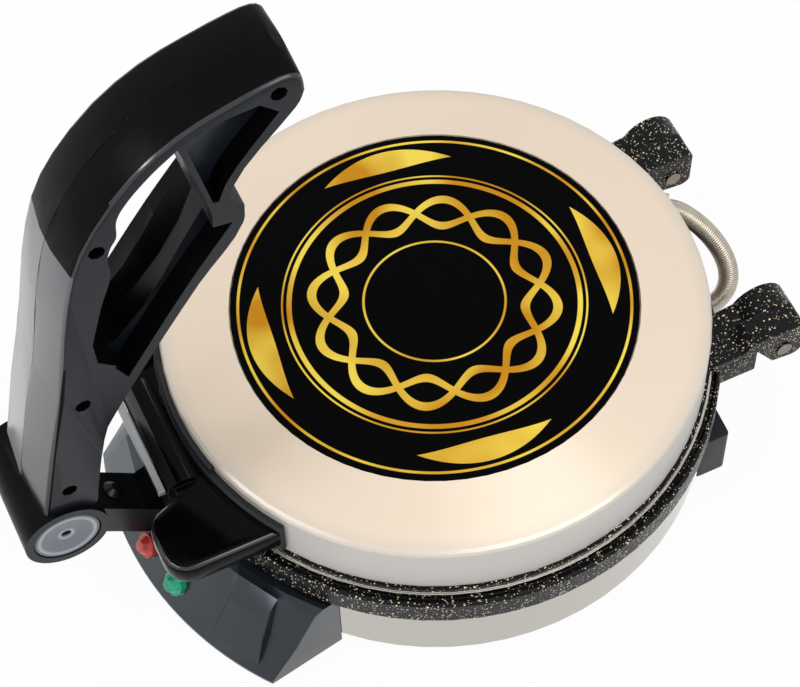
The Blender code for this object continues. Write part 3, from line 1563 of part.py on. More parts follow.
granite = material("black granite coating", (0.012, 0.012, 0.013), 0.45, 0)
steel = material("polished steel", (0.66, 0.63, 0.6), 0.12, 1)
dark_steel = material("zinc plated sheet", (0.32, 0.32, 0.33), 0.4, 1)
shield_steel = material("aluminised sheet", (0.45, 0.45, 0.46), 0.35, 1)
heater_steel = material("heater sheath", (0.18, 0.17, 0.16), 0.45, 1)
pin_steel = material("pin steel", (0.3, 0.28, 0.25), 0.4, 1)
hose_steel = material("conduit steel", (0.42, 0.39, 0.35), 0.3, 1)
black_steel = material("black painted steel", (0.01, 0.01, 0.011), 0.35, 0)
gloss_plastic = material("black gloss plastic", (0.008, 0.008, 0.009), 0.15, 0)
matte_plastic = material("black matt plastic", (0.012, 0.012, 0.013), 0.5, 0)
cap_grey = material("grey cap plastic", (0.12, 0.125, 0.135), 0.35, 0)
rubber = material("black rubber", (0.015, 0.015, 0.015), 0.8, 0)
white_plastic = material("terminal ceramic", (0.7, 0.68, 0.62), 0.5, 0)
disc_black = material("lid disc", (0.01, 0.01, 0.011), 0.08, 0)
green_lens = material("green lens", (0.005, 0.35, 0.22), 0.2, 0)
red_lens = material("red lens", (0.5, 0.01, 0.01), 0.2, 0)

root = empty("roti_maker", (0, 0, 0))
lid_hinge = empty("lid_hinge", HINGE_POINT, root)
lever_pivot = empty("lever_pivot", PIVOT_POINT, root)

rubber_pads()
base_pan()
base_band()
lower_plate()
heating()
rear_feet()
front_panel()
lamps()
cord_gland()
hinge_pins()
upper_plate()
lid_cover()
lid_disc()
conduit()
ferrule("conduit_ferrule_base", "base", BAND_RADIUS, 0, BAND_TOP, root)
ferrule("conduit_ferrule_lid", "lid", LID_RADIUS, LID_BOTTOM, LID_TOP, lid_hinge)
lid_handle()
handle_backplate()
handle_strip()
handle_screws()
lever_bracket()
bracket_fasteners()
pivot_pin()
lever_shell("lever_shell_left", -1)
lever_shell("lever_shell_right", 1)
pivot_caps()
lever_screws()

# The object's box runs from the barrel's front to the hinge lugs' rear, and is centred on the origin
front_reach = PIVOT_FRONT + BARREL_RADIUS
rear_reach = HINGE_REAR + LUG_TOP_RADIUS
root.location = (0, (front_reach - rear_reach) / 2, 0)
bpy.context.view_layer.update()
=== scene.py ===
import math

import bmesh
import bpy
from mathutils import Matrix, Vector, kdtree


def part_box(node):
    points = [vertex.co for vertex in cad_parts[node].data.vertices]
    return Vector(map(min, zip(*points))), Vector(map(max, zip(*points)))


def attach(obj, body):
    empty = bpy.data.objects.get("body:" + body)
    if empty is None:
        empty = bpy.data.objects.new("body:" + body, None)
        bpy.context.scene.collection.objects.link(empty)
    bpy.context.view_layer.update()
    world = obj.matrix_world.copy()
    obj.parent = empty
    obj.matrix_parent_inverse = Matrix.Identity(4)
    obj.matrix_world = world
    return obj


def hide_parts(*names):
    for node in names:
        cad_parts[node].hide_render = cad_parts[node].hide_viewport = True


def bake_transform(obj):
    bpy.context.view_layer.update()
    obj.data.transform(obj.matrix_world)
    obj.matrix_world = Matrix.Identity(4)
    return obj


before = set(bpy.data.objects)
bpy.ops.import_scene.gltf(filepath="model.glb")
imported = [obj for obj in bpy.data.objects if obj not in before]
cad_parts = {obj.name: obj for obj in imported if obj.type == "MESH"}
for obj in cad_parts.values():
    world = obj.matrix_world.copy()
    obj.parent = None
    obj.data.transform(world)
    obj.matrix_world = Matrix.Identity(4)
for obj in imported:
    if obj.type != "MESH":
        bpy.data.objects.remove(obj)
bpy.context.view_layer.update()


# Camera
# The photograph looks down over the user's right shoulder through a long lens, so round edges stay nearly
# even. The three turns are those of the camera that was solved from the rims of the two plates.
camera = bpy.data.cameras.new("photo_camera")
camera.sensor_width = 36
camera.lens = 112.5
camera.clip_start = 0.05
camera_stand = bpy.data.objects.new("photo_camera", camera)
bpy.context.scene.collection.objects.link(camera_stand)
camera_axes = Matrix(((0.4254, -0.7634, 0.4860), (0.9047, 0.3713, -0.2088), (-0.0211, 0.5285, 0.8486)))
camera_stand.matrix_world = Matrix.Translation((0.5293, -0.2209, 0.9985)) @ camera_axes.to_4x4()
bpy.context.scene.camera = camera_stand
bpy.context.scene.view_settings.view_transform = "Standard"


def linear(code):
    """An sRGB hex colour as the linear colour that a shader takes."""
    channels = [int(code[place:place + 2], 16) / 255 for place in (1, 3, 5)]
    return (*[c / 12.92 if c <= 0.04045 else ((c + 0.055) / 1.055) ** 2.4 for c in channels], 1)


def add_node(tree, kind, settings=None, links=None):
    """A node with its settings and its links. A whole number as the name means that input by its place."""
    node = tree.nodes.new(kind)
    for name, value in (settings or {}).items():
        if isinstance(name, int) or name in node.inputs:
            node.inputs[name].default_value = value
        else:
            setattr(node, name, value)
    for name, source in (links or {}).items():
        tree.links.new(source, node.inputs[name])
    return node


# Table and light
# A plain white table stands under an even white sky, a broad soft lamp and a long narrow one. What the
# camera and the metal see of the table is mostly plain white, and the rest keeps the object's shadow.
sky_light = 0.62
table_white = 0.94
lamp_aim = Vector((0, 0, 0.08))

sky = bpy.data.worlds.new("white_studio")
bpy.context.scene.world = sky
sky.use_nodes = True
sky.node_tree.nodes.clear()
rays = add_node(sky.node_tree, "ShaderNodeLightPath")
seen = add_node(sky.node_tree, "ShaderNodeMath", {"operation": "MAXIMUM"},
                {0: rays.outputs["Is Camera Ray"], 1: rays.outputs["Is Glossy Ray"]})
seen = add_node(sky.node_tree, "ShaderNodeMath", {"operation": "MAXIMUM"},
                {0: seen.outputs[0], 1: rays.outputs["Is Transmission Ray"]})
strength = add_node(sky.node_tree, "ShaderNodeMapRange", {"To Min": sky_light, "To Max": 1.0},
                    {"Value": seen.outputs[0]})
glow = add_node(sky.node_tree, "ShaderNodeBackground", {"Color": (1, 1, 1, 1)},
                {"Strength": strength.outputs[0]})
add_node(sky.node_tree, "ShaderNodeOutputWorld", {}, {"Surface": glow.outputs[0]})

table_mesh = bpy.data.meshes.new("table")
shape = bmesh.new()
bmesh.ops.create_circle(shape, cap_ends=True, segments=64, radius=4)
shape.to_mesh(table_mesh)
shape.free()
table = bpy.data.objects.new("table", table_mesh)
bpy.context.scene.collection.objects.link(table)
laminate = bpy.data.materials.new("white_laminate_table")
laminate.use_nodes = True
laminate.node_tree.nodes.clear()
rays = add_node(laminate.node_tree, "ShaderNodeLightPath")
seen = add_node(laminate.node_tree, "ShaderNodeMath", {"operation": "MAXIMUM"},
                {0: rays.outputs["Is Camera Ray"], 1: rays.outputs["Is Glossy Ray"]})
share = add_node(laminate.node_tree, "ShaderNodeMath", {"operation": "MULTIPLY", 1: table_white},
                 {0: seen.outputs[0]})
matt = add_node(laminate.node_tree, "ShaderNodeBsdfDiffuse", {"Color": linear("#F4F4F4")})
plain = add_node(laminate.node_tree, "ShaderNodeEmission", {"Color": (1, 1, 1, 1), "Strength": 1.0})
mixed = add_node(laminate.node_tree, "ShaderNodeMixShader", {},
                 {0: share.outputs[0], 1: matt.outputs[0], 2: plain.outputs[0]})
add_node(laminate.node_tree, "ShaderNodeOutputMaterial", {}, {"Surface": mixed.outputs[0]})
table_mesh.materials.append(laminate)

for lamp_name, place, width, height, power in (
    ("broad_lamp", (0.95, 0.35, 1.5), 1.1, 1.1, 12),
    ("edge_lamp", (0.1, -1.5, 1.25), 1.5, 0.14, 11),
):
    lamp = bpy.data.lights.new(lamp_name, "AREA")
    lamp.shape = "RECTANGLE"
    lamp.size = width
    lamp.size_y = height
    lamp.energy = power
    stand = bpy.data.objects.new(lamp_name, lamp)
    stand.location = place
    stand.rotation_euler = (lamp_aim - Vector(place)).to_track_quat("-Z", "Y").to_euler()
    bpy.context.scene.collection.objects.link(stand)


# Base pan and band
# The band is a strip of stainless steel, rolled, welded and polished to a soft mirror. The pan that closes
# it below is zinc plated sheet, pressed with a round bead, and its crystals show as faint spangles.
def dressed(node, body, material, angle=32, edge=0.0, gleam=None):
    """A finer copy of a CAD node: its triangles are joined, it is shaded smooth and its edges are eased.
    The eased edges may have their own material, such as a painted highlight along them."""
    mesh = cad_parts[node].data.copy()
    copy = bmesh.new()
    copy.from_mesh(mesh)
    bmesh.ops.remove_doubles(copy, verts=copy.verts, dist=0.000005)
    bmesh.ops.dissolve_limit(copy, angle_limit=math.radians(1.5), verts=copy.verts, edges=copy.edges)
    copy.to_mesh(mesh)
    copy.free()
    mesh.materials.clear()
    mesh.materials.append(material)
    mesh.shade_smooth()
    mesh.set_sharp_from_angle(angle=math.radians(angle))
    piece = bpy.data.objects.new(node + "_finished", mesh)
    bpy.context.scene.collection.objects.link(piece)
    if edge:
        ease = piece.modifiers.new("eased edges", "BEVEL")
        ease.width = edge
        ease.segments = 2
        ease.limit_method = "ANGLE"
        ease.angle_limit = math.radians(angle)
        ease.harden_normals = True
        ease.use_clamp_overlap = True
        if gleam:
            mesh.materials.append(gleam)
            ease.material = 1
    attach(piece, body)
    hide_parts(node)
    return piece


def new_material(name, colour, roughness, metallic=0.0, **more):
    """A material with a Principled shader, and its points in metres, so 1 / size is a pattern's scale."""
    material = bpy.data.materials.new(name)
    material.use_nodes = True
    shader = material.node_tree.nodes["Principled BSDF"]
    shader.inputs["Base Color"].default_value = linear(colour)
    shader.inputs["Roughness"].default_value = roughness
    shader.inputs["Metallic"].default_value = metallic
    for socket, value in more.items():
        shader.inputs[socket.replace("_", " ")].default_value = value
    points = add_node(material.node_tree, "ShaderNodeTexCoord").outputs["Object"]
    return material, material.node_tree, shader, points


# 304 stainless steel, polished: a clear mirror with faint wipe marks that blur it by patches
band_steel, tree, shader, points = new_material("polished_304_stainless_band", "#BAB6AF", 0.1, 1.0)
wipes = add_node(tree, "ShaderNodeTexNoise", {"Scale": 1 / 0.018, "Detail": 4.0, "Roughness": 0.6},
                 {"Vector": points})
blur = add_node(tree, "ShaderNodeMapRange",
                {"From Min": 0.35, "From Max": 0.7, "To Min": 0.07, "To Max": 0.17},
                {"Value": wipes.outputs["Fac"]})
tree.links.new(blur.outputs[0], shader.inputs["Roughness"])
stretched = add_node(tree, "ShaderNodeMapping", {"Scale": (1, 1, 40)}, {"Vector": points})
lines = add_node(tree, "ShaderNodeTexNoise", {"Scale": 1 / 0.02, "Detail": 3.0},
                 {"Vector": stretched.outputs[0]})
relief = add_node(tree, "ShaderNodeBump", {"Strength": 0.12, "Distance": 0.00002},
                  {"Height": lines.outputs["Fac"]})
tree.links.new(relief.outputs[0], shader.inputs["Normal"])
dressed("base_band", "base", band_steel)

# Zinc plated sheet: dull silver in flat crystals some 8 mm across, each a little lighter or darker
zinc, tree, shader, points = new_material("spangled_zinc_sheet", "#A9ABAD", 0.42, 1.0)
crystals = add_node(tree, "ShaderNodeTexVoronoi", {"Scale": 1 / 0.008}, {"Vector": points})
tones = add_node(tree, "ShaderNodeMix", {"data_type": "RGBA", 6: linear("#9FA1A4"), 7: linear("#B8BABB")},
                 {0: crystals.outputs["Distance"]})
tree.links.new(tones.outputs[2], shader.inputs["Base Color"])
blur = add_node(tree, "ShaderNodeMapRange", {"To Min": 0.35, "To Max": 0.5},
                {"Value": crystals.outputs["Distance"]})
tree.links.new(blur.outputs[0], shader.inputs["Roughness"])
dressed("base_pan", "base", zinc)


# Feet and cord gland
# Black polypropylene feet, moulded with a fine spark texture and screwed to the band, on turned rubber pads.
# The gland is a bushing of the same plastic that lines the cord's hole.

# Polypropylene, moulded with a spark texture: matt black and a little uneven in sheen.
# The grain is drawn 1.2 mm wide, coarser than the real one, so that it shows.
matt_plastic, tree, shader, points = new_material("moulded_polypropylene", "#1B1C1F", 0.5, 0.0,
                                                  Specular_IOR_Level=0.3)
grain = add_node(tree, "ShaderNodeTexNoise", {"Scale": 1 / 0.0012, "Detail": 3.0}, {"Vector": points})
relief = add_node(tree, "ShaderNodeBump", {"Strength": 0.35, "Distance": 0.00006},
                  {"Height": grain.outputs["Fac"]})
tree.links.new(relief.outputs[0], shader.inputs["Normal"])
cloud = add_node(tree, "ShaderNodeTexNoise", {"Scale": 1 / 0.03, "Detail": 2.0}, {"Vector": points})
blur = add_node(tree, "ShaderNodeMapRange",
                {"From Min": 0.3, "From Max": 0.7, "To Min": 0.42, "To Max": 0.58},
                {"Value": cloud.outputs["Fac"]})
tree.links.new(blur.outputs[0], shader.inputs["Roughness"])
for foot in ("rear_foot_left", "rear_foot_right", "cord_gland"):
    dressed(foot, "base", matt_plastic, edge=0.0004)

# Nitrile rubber, moulded: dull near black with a bloom of grey dust
rubber, tree, shader, points = new_material("nitrile_rubber", "#1A1A1A", 0.8, 0.0,
                                            Specular_IOR_Level=0.25)
dust = add_node(tree, "ShaderNodeTexNoise", {"Scale": 1 / 0.002, "Detail": 4.0}, {"Vector": points})
tones = add_node(tree, "ShaderNodeMix", {"data_type": "RGBA", 6: linear("#141414"), 7: linear("#2B2B2A")},
                 {0: dust.outputs["Fac"]})
tree.links.new(tones.outputs[2], shader.inputs["Base Color"])
for pad in ("rubber_pad_front_left", "rubber_pad_front_right", "rubber_pad_rear_left",
            "rubber_pad_rear_right"):
    dressed(pad, "base", rubber, edge=0.0004)


# Front panel and lamps
# The panel is black ABS from a polished mould, with the long soft waves of thick plastic. Its two lamps are
# neon bulbs behind moulded lenses, green and red, pressed into holes in its face.
painted_sheen_full_to = 0.012
painted_sheen_gone_from = 0.08

# ABS, moulded and polished: a cool gloss with smears, and a painted reflection that lightens its left end
gloss_plastic, tree, shader, points = new_material("polished_black_abs", "#10151A", 0.2, 0.0,
                                                   Specular_IOR_Level=0.5, Coat_Weight=0.4,
                                                   Coat_Roughness=0.3, Specular_Tint=linear("#C4DBEF"))
waves = add_node(tree, "ShaderNodeTexNoise", {"Scale": 1 / 0.014, "Detail": 1.0}, {"Vector": points})
relief = add_node(tree, "ShaderNodeBump", {"Strength": 0.25, "Distance": 0.00012},
                  {"Height": waves.outputs["Fac"]})
tree.links.new(relief.outputs[0], shader.inputs["Normal"])
smears = add_node(tree, "ShaderNodeTexNoise", {"Scale": 1 / 0.006, "Detail": 5.0, "Roughness": 0.65},
                  {"Vector": points})
blur = add_node(tree, "ShaderNodeMapRange",
                {"From Min": 0.35, "From Max": 0.75, "To Min": 0.11, "To Max": 0.26},
                {"Value": smears.outputs["Fac"]})
tree.links.new(blur.outputs[0], shader.inputs["Roughness"])
# Painted reflection: the base runs from a lighter left end to a dark right end, as the panel's sheen
place = add_node(tree, "ShaderNodeSeparateXYZ", {}, {0: points})
along = add_node(tree, "ShaderNodeMapRange", {"From Min": painted_sheen_full_to, "From Max": painted_sheen_gone_from},
                 {"Value": place.outputs["X"]})
tones = add_node(tree, "ShaderNodeMix", {"data_type": "RGBA", 6: linear("#272E34"), 7: linear("#0A0C0F")},
                 {0: along.outputs[0]})
tree.links.new(tones.outputs[2], shader.inputs["Base Color"])
dressed("front_panel", "base", gloss_plastic, edge=0.0008)

# Polycarbonate, moulded and tinted: a bright clear colour, darker in its small facets
for lamp, slot, dark, light in (
    ("lamp_green", "lens_green", "#077A5C", "#0FB88D"),
    ("lamp_red", "lens_red", "#7A1212", "#E2463F"),
):
    lens, tree, shader, points = new_material("tinted_polycarbonate_" + lamp, light, 0.16, 0.0,
                                              Specular_IOR_Level=0.5, Transmission_Weight=0.1)
    bubbles = add_node(tree, "ShaderNodeTexVoronoi", {"Scale": 1 / 0.0022, "feature": "SMOOTH_F1"},
                       {"Vector": points})
    tones = add_node(tree, "ShaderNodeMix", {"data_type": "RGBA", 6: linear(light), 7: linear(dark)},
                     {0: bubbles.outputs["Distance"]})
    tree.links.new(tones.outputs[2], shader.inputs["Base Color"])
    relief = add_node(tree, "ShaderNodeBump", {"Strength": 0.6, "Distance": 0.0004},
                      {"Height": bubbles.outputs["Distance"]})
    tree.links.new(relief.outputs[0], shader.inputs["Normal"])
    dressed(lamp, "base", lens, edge=0.0004)


# Lower plate, heater and terminals
# The plates are cast aluminium under a sprayed non-stick coating, which is black with pale and gold
# flecks. Below hang the sheathed heater ring, its shield on posts, the thermostat and the terminals.
def fleck_layer(tree, points, cell, radius, shown):
    """Where flecks lie: about one to a cell, with the share shown, and a radius in metres."""
    cells = add_node(tree, "ShaderNodeTexVoronoi", {"Scale": 1 / cell, "Randomness": 1.0},
                     {"Vector": points})
    parts = add_node(tree, "ShaderNodeSeparateColor", {}, {0: cells.outputs["Color"]})
    reach = add_node(tree, "ShaderNodeMath", {"operation": "MULTIPLY", 1: radius / cell},
                     {0: parts.outputs[0]})
    inside = add_node(tree, "ShaderNodeMath", {"operation": "LESS_THAN"},
                      {0: cells.outputs["Distance"], 1: reach.outputs[0]})
    picked = add_node(tree, "ShaderNodeMath", {"operation": "LESS_THAN", 1: shown}, {0: parts.outputs[1]})
    there = add_node(tree, "ShaderNodeMath", {"operation": "MULTIPLY"},
                     {0: inside.outputs[0], 1: picked.outputs[0]})
    return there.outputs[0], parts.outputs[2]


# Non-stick coating, sprayed and baked: black with pale and gold flecks up to 1.4 mm across, faintly rough
granite, tree, shader, points = new_material("granite_nonstick_coating", "#0A0A0C", 0.34, 0.0,
                                             Specular_IOR_Level=0.16)
colour = add_node(tree, "ShaderNodeRGB").outputs[0]
colour.default_value = linear("#0A0A0C")
for cell, radius, shown in ((0.0016, 0.00048, 0.75), (0.001, 0.00036, 0.6), (0.0034, 0.0007, 0.4)):
    there, tint = fleck_layer(tree, points, cell, radius, shown)
    fleck = add_node(tree, "ShaderNodeValToRGB", {}, {0: tint})
    fleck.color_ramp.elements[0].color = linear("#E9E6DE")
    fleck.color_ramp.elements[1].color = linear("#8F8B84")
    gold = fleck.color_ramp.elements.new(0.8)
    gold.color = linear("#CDB98F")
    mix = add_node(tree, "ShaderNodeMix", {"data_type": "RGBA"},
                   {0: there, 6: colour, 7: fleck.outputs[0]})
    colour = mix.outputs[2]
tree.links.new(colour, shader.inputs["Base Color"])
spray = add_node(tree, "ShaderNodeTexNoise", {"Scale": 1 / 0.0016, "Detail": 4.0, "Roughness": 0.6},
                 {"Vector": points})
relief = add_node(tree, "ShaderNodeBump", {"Strength": 0.5, "Distance": 0.00025},
                  {"Height": spray.outputs["Fac"]})
tree.links.new(relief.outputs[0], shader.inputs["Normal"])
dressed("lower_plate", "base", granite, edge=0.0004)

# Heater sheath, oxidised by heat: brown grey metal in soft clouds
sheath, tree, shader, points = new_material("oxidised_heater_sheath", "#6E675E", 0.45, 1.0)
heat = add_node(tree, "ShaderNodeTexNoise", {"Scale": 1 / 0.02, "Detail": 3.0}, {"Vector": points})
tones = add_node(tree, "ShaderNodeMix", {"data_type": "RGBA", 6: linear("#4A443F"), 7: linear("#8A8276")},
                 {0: heat.outputs["Fac"]})
tree.links.new(tones.outputs[2], shader.inputs["Base Color"])
dressed("lower_heater", "base", sheath, angle=60)
dressed("thermostat", "base", sheath, edge=0.0003)
for post in ("lower_post_1", "lower_post_2", "lower_post_3"):
    dressed(post, "base", sheath)

# Aluminised steel, rolled: pale grey with fine lines one way
aluminised, tree, shader, points = new_material("aluminised_sheet", "#B3B4B6", 0.34, 1.0)
rolled = add_node(tree, "ShaderNodeMapping", {"Scale": (1, 30, 1)}, {"Vector": points})
lines = add_node(tree, "ShaderNodeTexNoise", {"Scale": 1 / 0.02, "Detail": 3.0},
                 {"Vector": rolled.outputs[0]})
blur = add_node(tree, "ShaderNodeMapRange", {"To Min": 0.25, "To Max": 0.45},
                {"Value": lines.outputs["Fac"]})
tree.links.new(blur.outputs[0], shader.inputs["Roughness"])
dressed("lower_heat_shield", "base", aluminised)

# Steatite, pressed and fired: off white with a faint clay mottle
ceramic, tree, shader, points = new_material("steatite_terminal_block", "#E2DCD0", 0.5)
clay = add_node(tree, "ShaderNodeTexNoise", {"Scale": 1 / 0.004, "Detail": 4.0}, {"Vector": points})
tones = add_node(tree, "ShaderNodeMix", {"data_type": "RGBA", 6: linear("#D6CFC1"), 7: linear("#ECE7DC")},
                 {0: clay.outputs["Fac"]})
tree.links.new(tones.outputs[2], shader.inputs["Base Color"])
dressed("terminal_block", "base", ceramic, edge=0.0004)


# Upper plate
# The same coated casting, upside down in the lid. Its cooking face is ground bare round the rim, which shows
# as a bright line between the plates.
axis_y = (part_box("lid_disc")[0].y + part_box("lid_disc")[1].y) / 2
ground_foot = 0.0594
ground_top = 0.0605
ground_inside = 0.1205
ground_outside = 0.1225

# The same coating, ground away in a narrow ring: bare bright aluminium there
upper_granite = granite.copy()
upper_granite.name = "granite_coating_with_bare_rim"
tree = upper_granite.node_tree
shader = tree.nodes["Principled BSDF"]
points = add_node(tree, "ShaderNodeTexCoord").outputs["Object"]
place = add_node(tree, "ShaderNodeSeparateXYZ", {}, {0: points})
coated = shader.inputs["Base Color"].links[0].from_socket
bare = add_node(tree, "ShaderNodeMath", {"operation": "LESS_THAN", 1: ground_top},
                {0: place.outputs["Z"]})
above = add_node(tree, "ShaderNodeMath", {"operation": "GREATER_THAN", 1: ground_foot},
                 {0: place.outputs["Z"]})
bare = add_node(tree, "ShaderNodeMath", {"operation": "MULTIPLY"},
                {0: bare.outputs[0], 1: above.outputs[0]})
flat = add_node(tree, "ShaderNodeMapping", {"Location": (0, -axis_y, 0), "Scale": (1, 1, 0)},
                {"Vector": points})
spread = add_node(tree, "ShaderNodeVectorMath", {"operation": "LENGTH"}, {0: flat.outputs[0]})
rim = add_node(tree, "ShaderNodeMath", {"operation": "GREATER_THAN", 1: ground_inside},
               {0: spread.outputs["Value"]})
short = add_node(tree, "ShaderNodeMath", {"operation": "LESS_THAN", 1: ground_outside},
                 {0: spread.outputs["Value"]})
bare = add_node(tree, "ShaderNodeMath", {"operation": "MULTIPLY"},
                {0: bare.outputs[0], 1: rim.outputs[0]})
bare = add_node(tree, "ShaderNodeMath", {"operation": "MULTIPLY"},
                {0: bare.outputs[0], 1: short.outputs[0]})
mix = add_node(tree, "ShaderNodeMix", {"data_type": "RGBA", 7: linear("#CFC8BE")},
               {0: bare.outputs[0], 6: coated})
tree.links.new(mix.outputs[2], shader.inputs["Base Color"])
tree.links.new(bare.outputs[0], shader.inputs["Metallic"])
dressed("upper_plate", "lid", upper_granite, edge=0.0002)
dressed("upper_heater", "lid", sheath, angle=60)
dressed("upper_heat_shield", "lid", aluminised)
for post in ("upper_post_1", "upper_post_2", "upper_post_3"):
    dressed(post, "lid", sheath)


# Lid cover
# One spinning of stainless steel with a sunk middle for the disc. It is buffed as it turns, so its fine
# lines run round it and spread the light outwards. Its broad ring is painted warmer than the wall below,
# as a painted reflection of a warm ceiling.
wall_top = 0.0885
shoulder_top = 0.0925

# 304 stainless steel, buffed on the lathe: a soft shine, a warm painted reflection on the ring, neutral wall
lid_steel, tree, shader, points = new_material("buffed_304_stainless_lid", "#E6D3BE", 0.34, 0.3,
                                               Anisotropic=0.8)
outwards = add_node(tree, "ShaderNodeMapping", {"Location": (0, -axis_y, 0)}, {"Vector": points})
tree.links.new(outwards.outputs[0], shader.inputs["Tangent"])
# Painted reflection: the ring's base is warm and the wall keeps a neutral grey
side = add_node(tree, "ShaderNodeSeparateXYZ", {}, {0: points})
painted_warm_share = add_node(tree, "ShaderNodeMapRange", {"From Min": wall_top, "From Max": shoulder_top},
                {"Value": side.outputs["Z"]})
mix = add_node(tree, "ShaderNodeMix", {"data_type": "RGBA", 6: linear("#C4C1BC"), 7: linear("#EBD9C4")},
               {0: painted_warm_share.outputs[0]})
tree.links.new(mix.outputs[2], shader.inputs["Base Color"])
wipes = add_node(tree, "ShaderNodeTexNoise", {"Scale": 1 / 0.03, "Detail": 2.0}, {"Vector": points})
blur = add_node(tree, "ShaderNodeMapRange",
                {"From Min": 0.3, "From Max": 0.7, "To Min": 0.3, "To Max": 0.37},
                {"Value": wipes.outputs["Fac"]})
tree.links.new(blur.outputs[0], shader.inputs["Roughness"])
dressed("lid_cover", "lid", lid_steel, angle=25)


# Lid disc
# A disc of toughened glass, printed from behind in black and gold and glued into the lid's recess. The print
# is a plain rosette of two waved rings inside round ones, with four crescents near the edge.
wave_count = 6
line_blur = 0.0002
crescent_count = 4
crescent_turn = 0.6
crescent_ring = 0.0765
crescent_half_width = 0.0055

# Toughened glass, printed behind: deep black and even gold under one clear smooth face
disc_glass, tree, shader, points = new_material("back_printed_toughened_glass", "#020203", 0.06, 0.0,
                                                Specular_IOR_Level=0.03)
centred = add_node(tree, "ShaderNodeMapping", {"Location": (0, -axis_y, 0)}, {"Vector": points})
place = add_node(tree, "ShaderNodeSeparateXYZ", {}, {0: centred.outputs[0]})
turn = add_node(tree, "ShaderNodeMath", {"operation": "ARCTAN2"},
                {0: place.outputs["Y"], 1: place.outputs["X"]})
flat = add_node(tree, "ShaderNodeMapping", {"Scale": (1, 1, 0)}, {"Vector": centred.outputs[0]})
spread = add_node(tree, "ShaderNodeVectorMath", {"operation": "LENGTH"}, {0: flat.outputs[0]})
gold_here = None
# Each line's middle radius, its swing in and out, where the swing starts, and half its width
for middle, swing, phase, width in (
    (0.046, 0.007, 0.0, 0.0021),
    (0.046, 0.007, math.pi, 0.0021),
    (0.0305, 0.0, 0.0, 0.0006),
    (0.0625, 0.0, 0.0, 0.0012),
    (0.0655, 0.0, 0.0, 0.0005),
    (0.0845, 0.0, 0.0, 0.0007),
):
    wave = add_node(tree, "ShaderNodeMath", {"operation": "MULTIPLY_ADD", 1: wave_count, 2: phase},
                    {0: turn.outputs[0]})
    wave = add_node(tree, "ShaderNodeMath", {"operation": "COSINE"}, {0: wave.outputs[0]})
    wave = add_node(tree, "ShaderNodeMath", {"operation": "MULTIPLY_ADD", 1: swing, 2: middle},
                    {0: wave.outputs[0]})
    apart = add_node(tree, "ShaderNodeMath", {"operation": "SUBTRACT"},
                     {0: spread.outputs["Value"], 1: wave.outputs[0]})
    apart = add_node(tree, "ShaderNodeMath", {"operation": "ABSOLUTE"}, {0: apart.outputs[0]})
    line = add_node(tree, "ShaderNodeMapRange", {"From Min": width, "From Max": width - line_blur},
                    {"Value": apart.outputs[0]})
    if gold_here is None:
        gold_here = line.outputs[0]
    else:
        gold_here = add_node(tree, "ShaderNodeMath", {"operation": "MAXIMUM"},
                             {0: gold_here, 1: line.outputs[0]}).outputs[0]
apart = add_node(tree, "ShaderNodeMath", {"operation": "SUBTRACT", 1: crescent_ring},
                 {0: spread.outputs["Value"]})
apart = add_node(tree, "ShaderNodeMath", {"operation": "ABSOLUTE"}, {0: apart.outputs[0]})
swell = add_node(tree, "ShaderNodeMath",
                 {"operation": "MULTIPLY_ADD", 1: crescent_count, 2: crescent_turn}, {0: turn.outputs[0]})
swell = add_node(tree, "ShaderNodeMath", {"operation": "COSINE"}, {0: swell.outputs[0]})
swell = add_node(tree, "ShaderNodeMath", {"operation": "MULTIPLY", 1: crescent_half_width},
                 {0: swell.outputs[0]})
crescent = add_node(tree, "ShaderNodeMath", {"operation": "LESS_THAN"},
                    {0: apart.outputs[0], 1: swell.outputs[0]})
gold_here = add_node(tree, "ShaderNodeMath", {"operation": "MAXIMUM"},
                     {0: gold_here, 1: crescent.outputs[0]}).outputs[0]
sheen = add_node(tree, "ShaderNodeTexNoise", {"Scale": 1 / 0.03, "Detail": 1.0}, {"Vector": points})
gold_tone = add_node(tree, "ShaderNodeValToRGB", {}, {0: sheen.outputs["Fac"]})
deep_gold = gold_tone.color_ramp.elements[0]
deep_gold.position = 0.35
deep_gold.color = linear("#C98A1E")
pale_gold = gold_tone.color_ramp.elements[1]
pale_gold.position = 0.65
pale_gold.color = linear("#F6DA55")
print_colour = add_node(tree, "ShaderNodeMix", {"data_type": "RGBA", 6: linear("#020203")},
                        {0: gold_here, 7: gold_tone.outputs[0]})
tree.links.new(print_colour.outputs[2], shader.inputs["Base Color"])
dressed("lid_disc", "lid", disc_glass)


# Lid handle
# A phenolic handle, moulded in one piece with a round bar between two broad ends, on a backplate that
# follows the lid. Two screws hold it from inside, and a thin satin strip lies in front of the bar.
# How far up a face leans, for the faces that carry the painted edge highlight:
lean_low = 0.3
lean_high = 0.92

# Phenolic resin, moulded: deep black with a smooth gloss and long soft waves
phenolic, tree, shader, points = new_material("moulded_phenolic", "#040405", 0.14, 0.0,
                                              Specular_IOR_Level=0.06)
waves = add_node(tree, "ShaderNodeTexNoise", {"Scale": 1 / 0.01, "Detail": 2.0}, {"Vector": points})
relief = add_node(tree, "ShaderNodeBump", {"Strength": 0.3, "Distance": 0.00015},
                  {"Height": waves.outputs["Fac"]})
tree.links.new(relief.outputs[0], shader.inputs["Normal"])

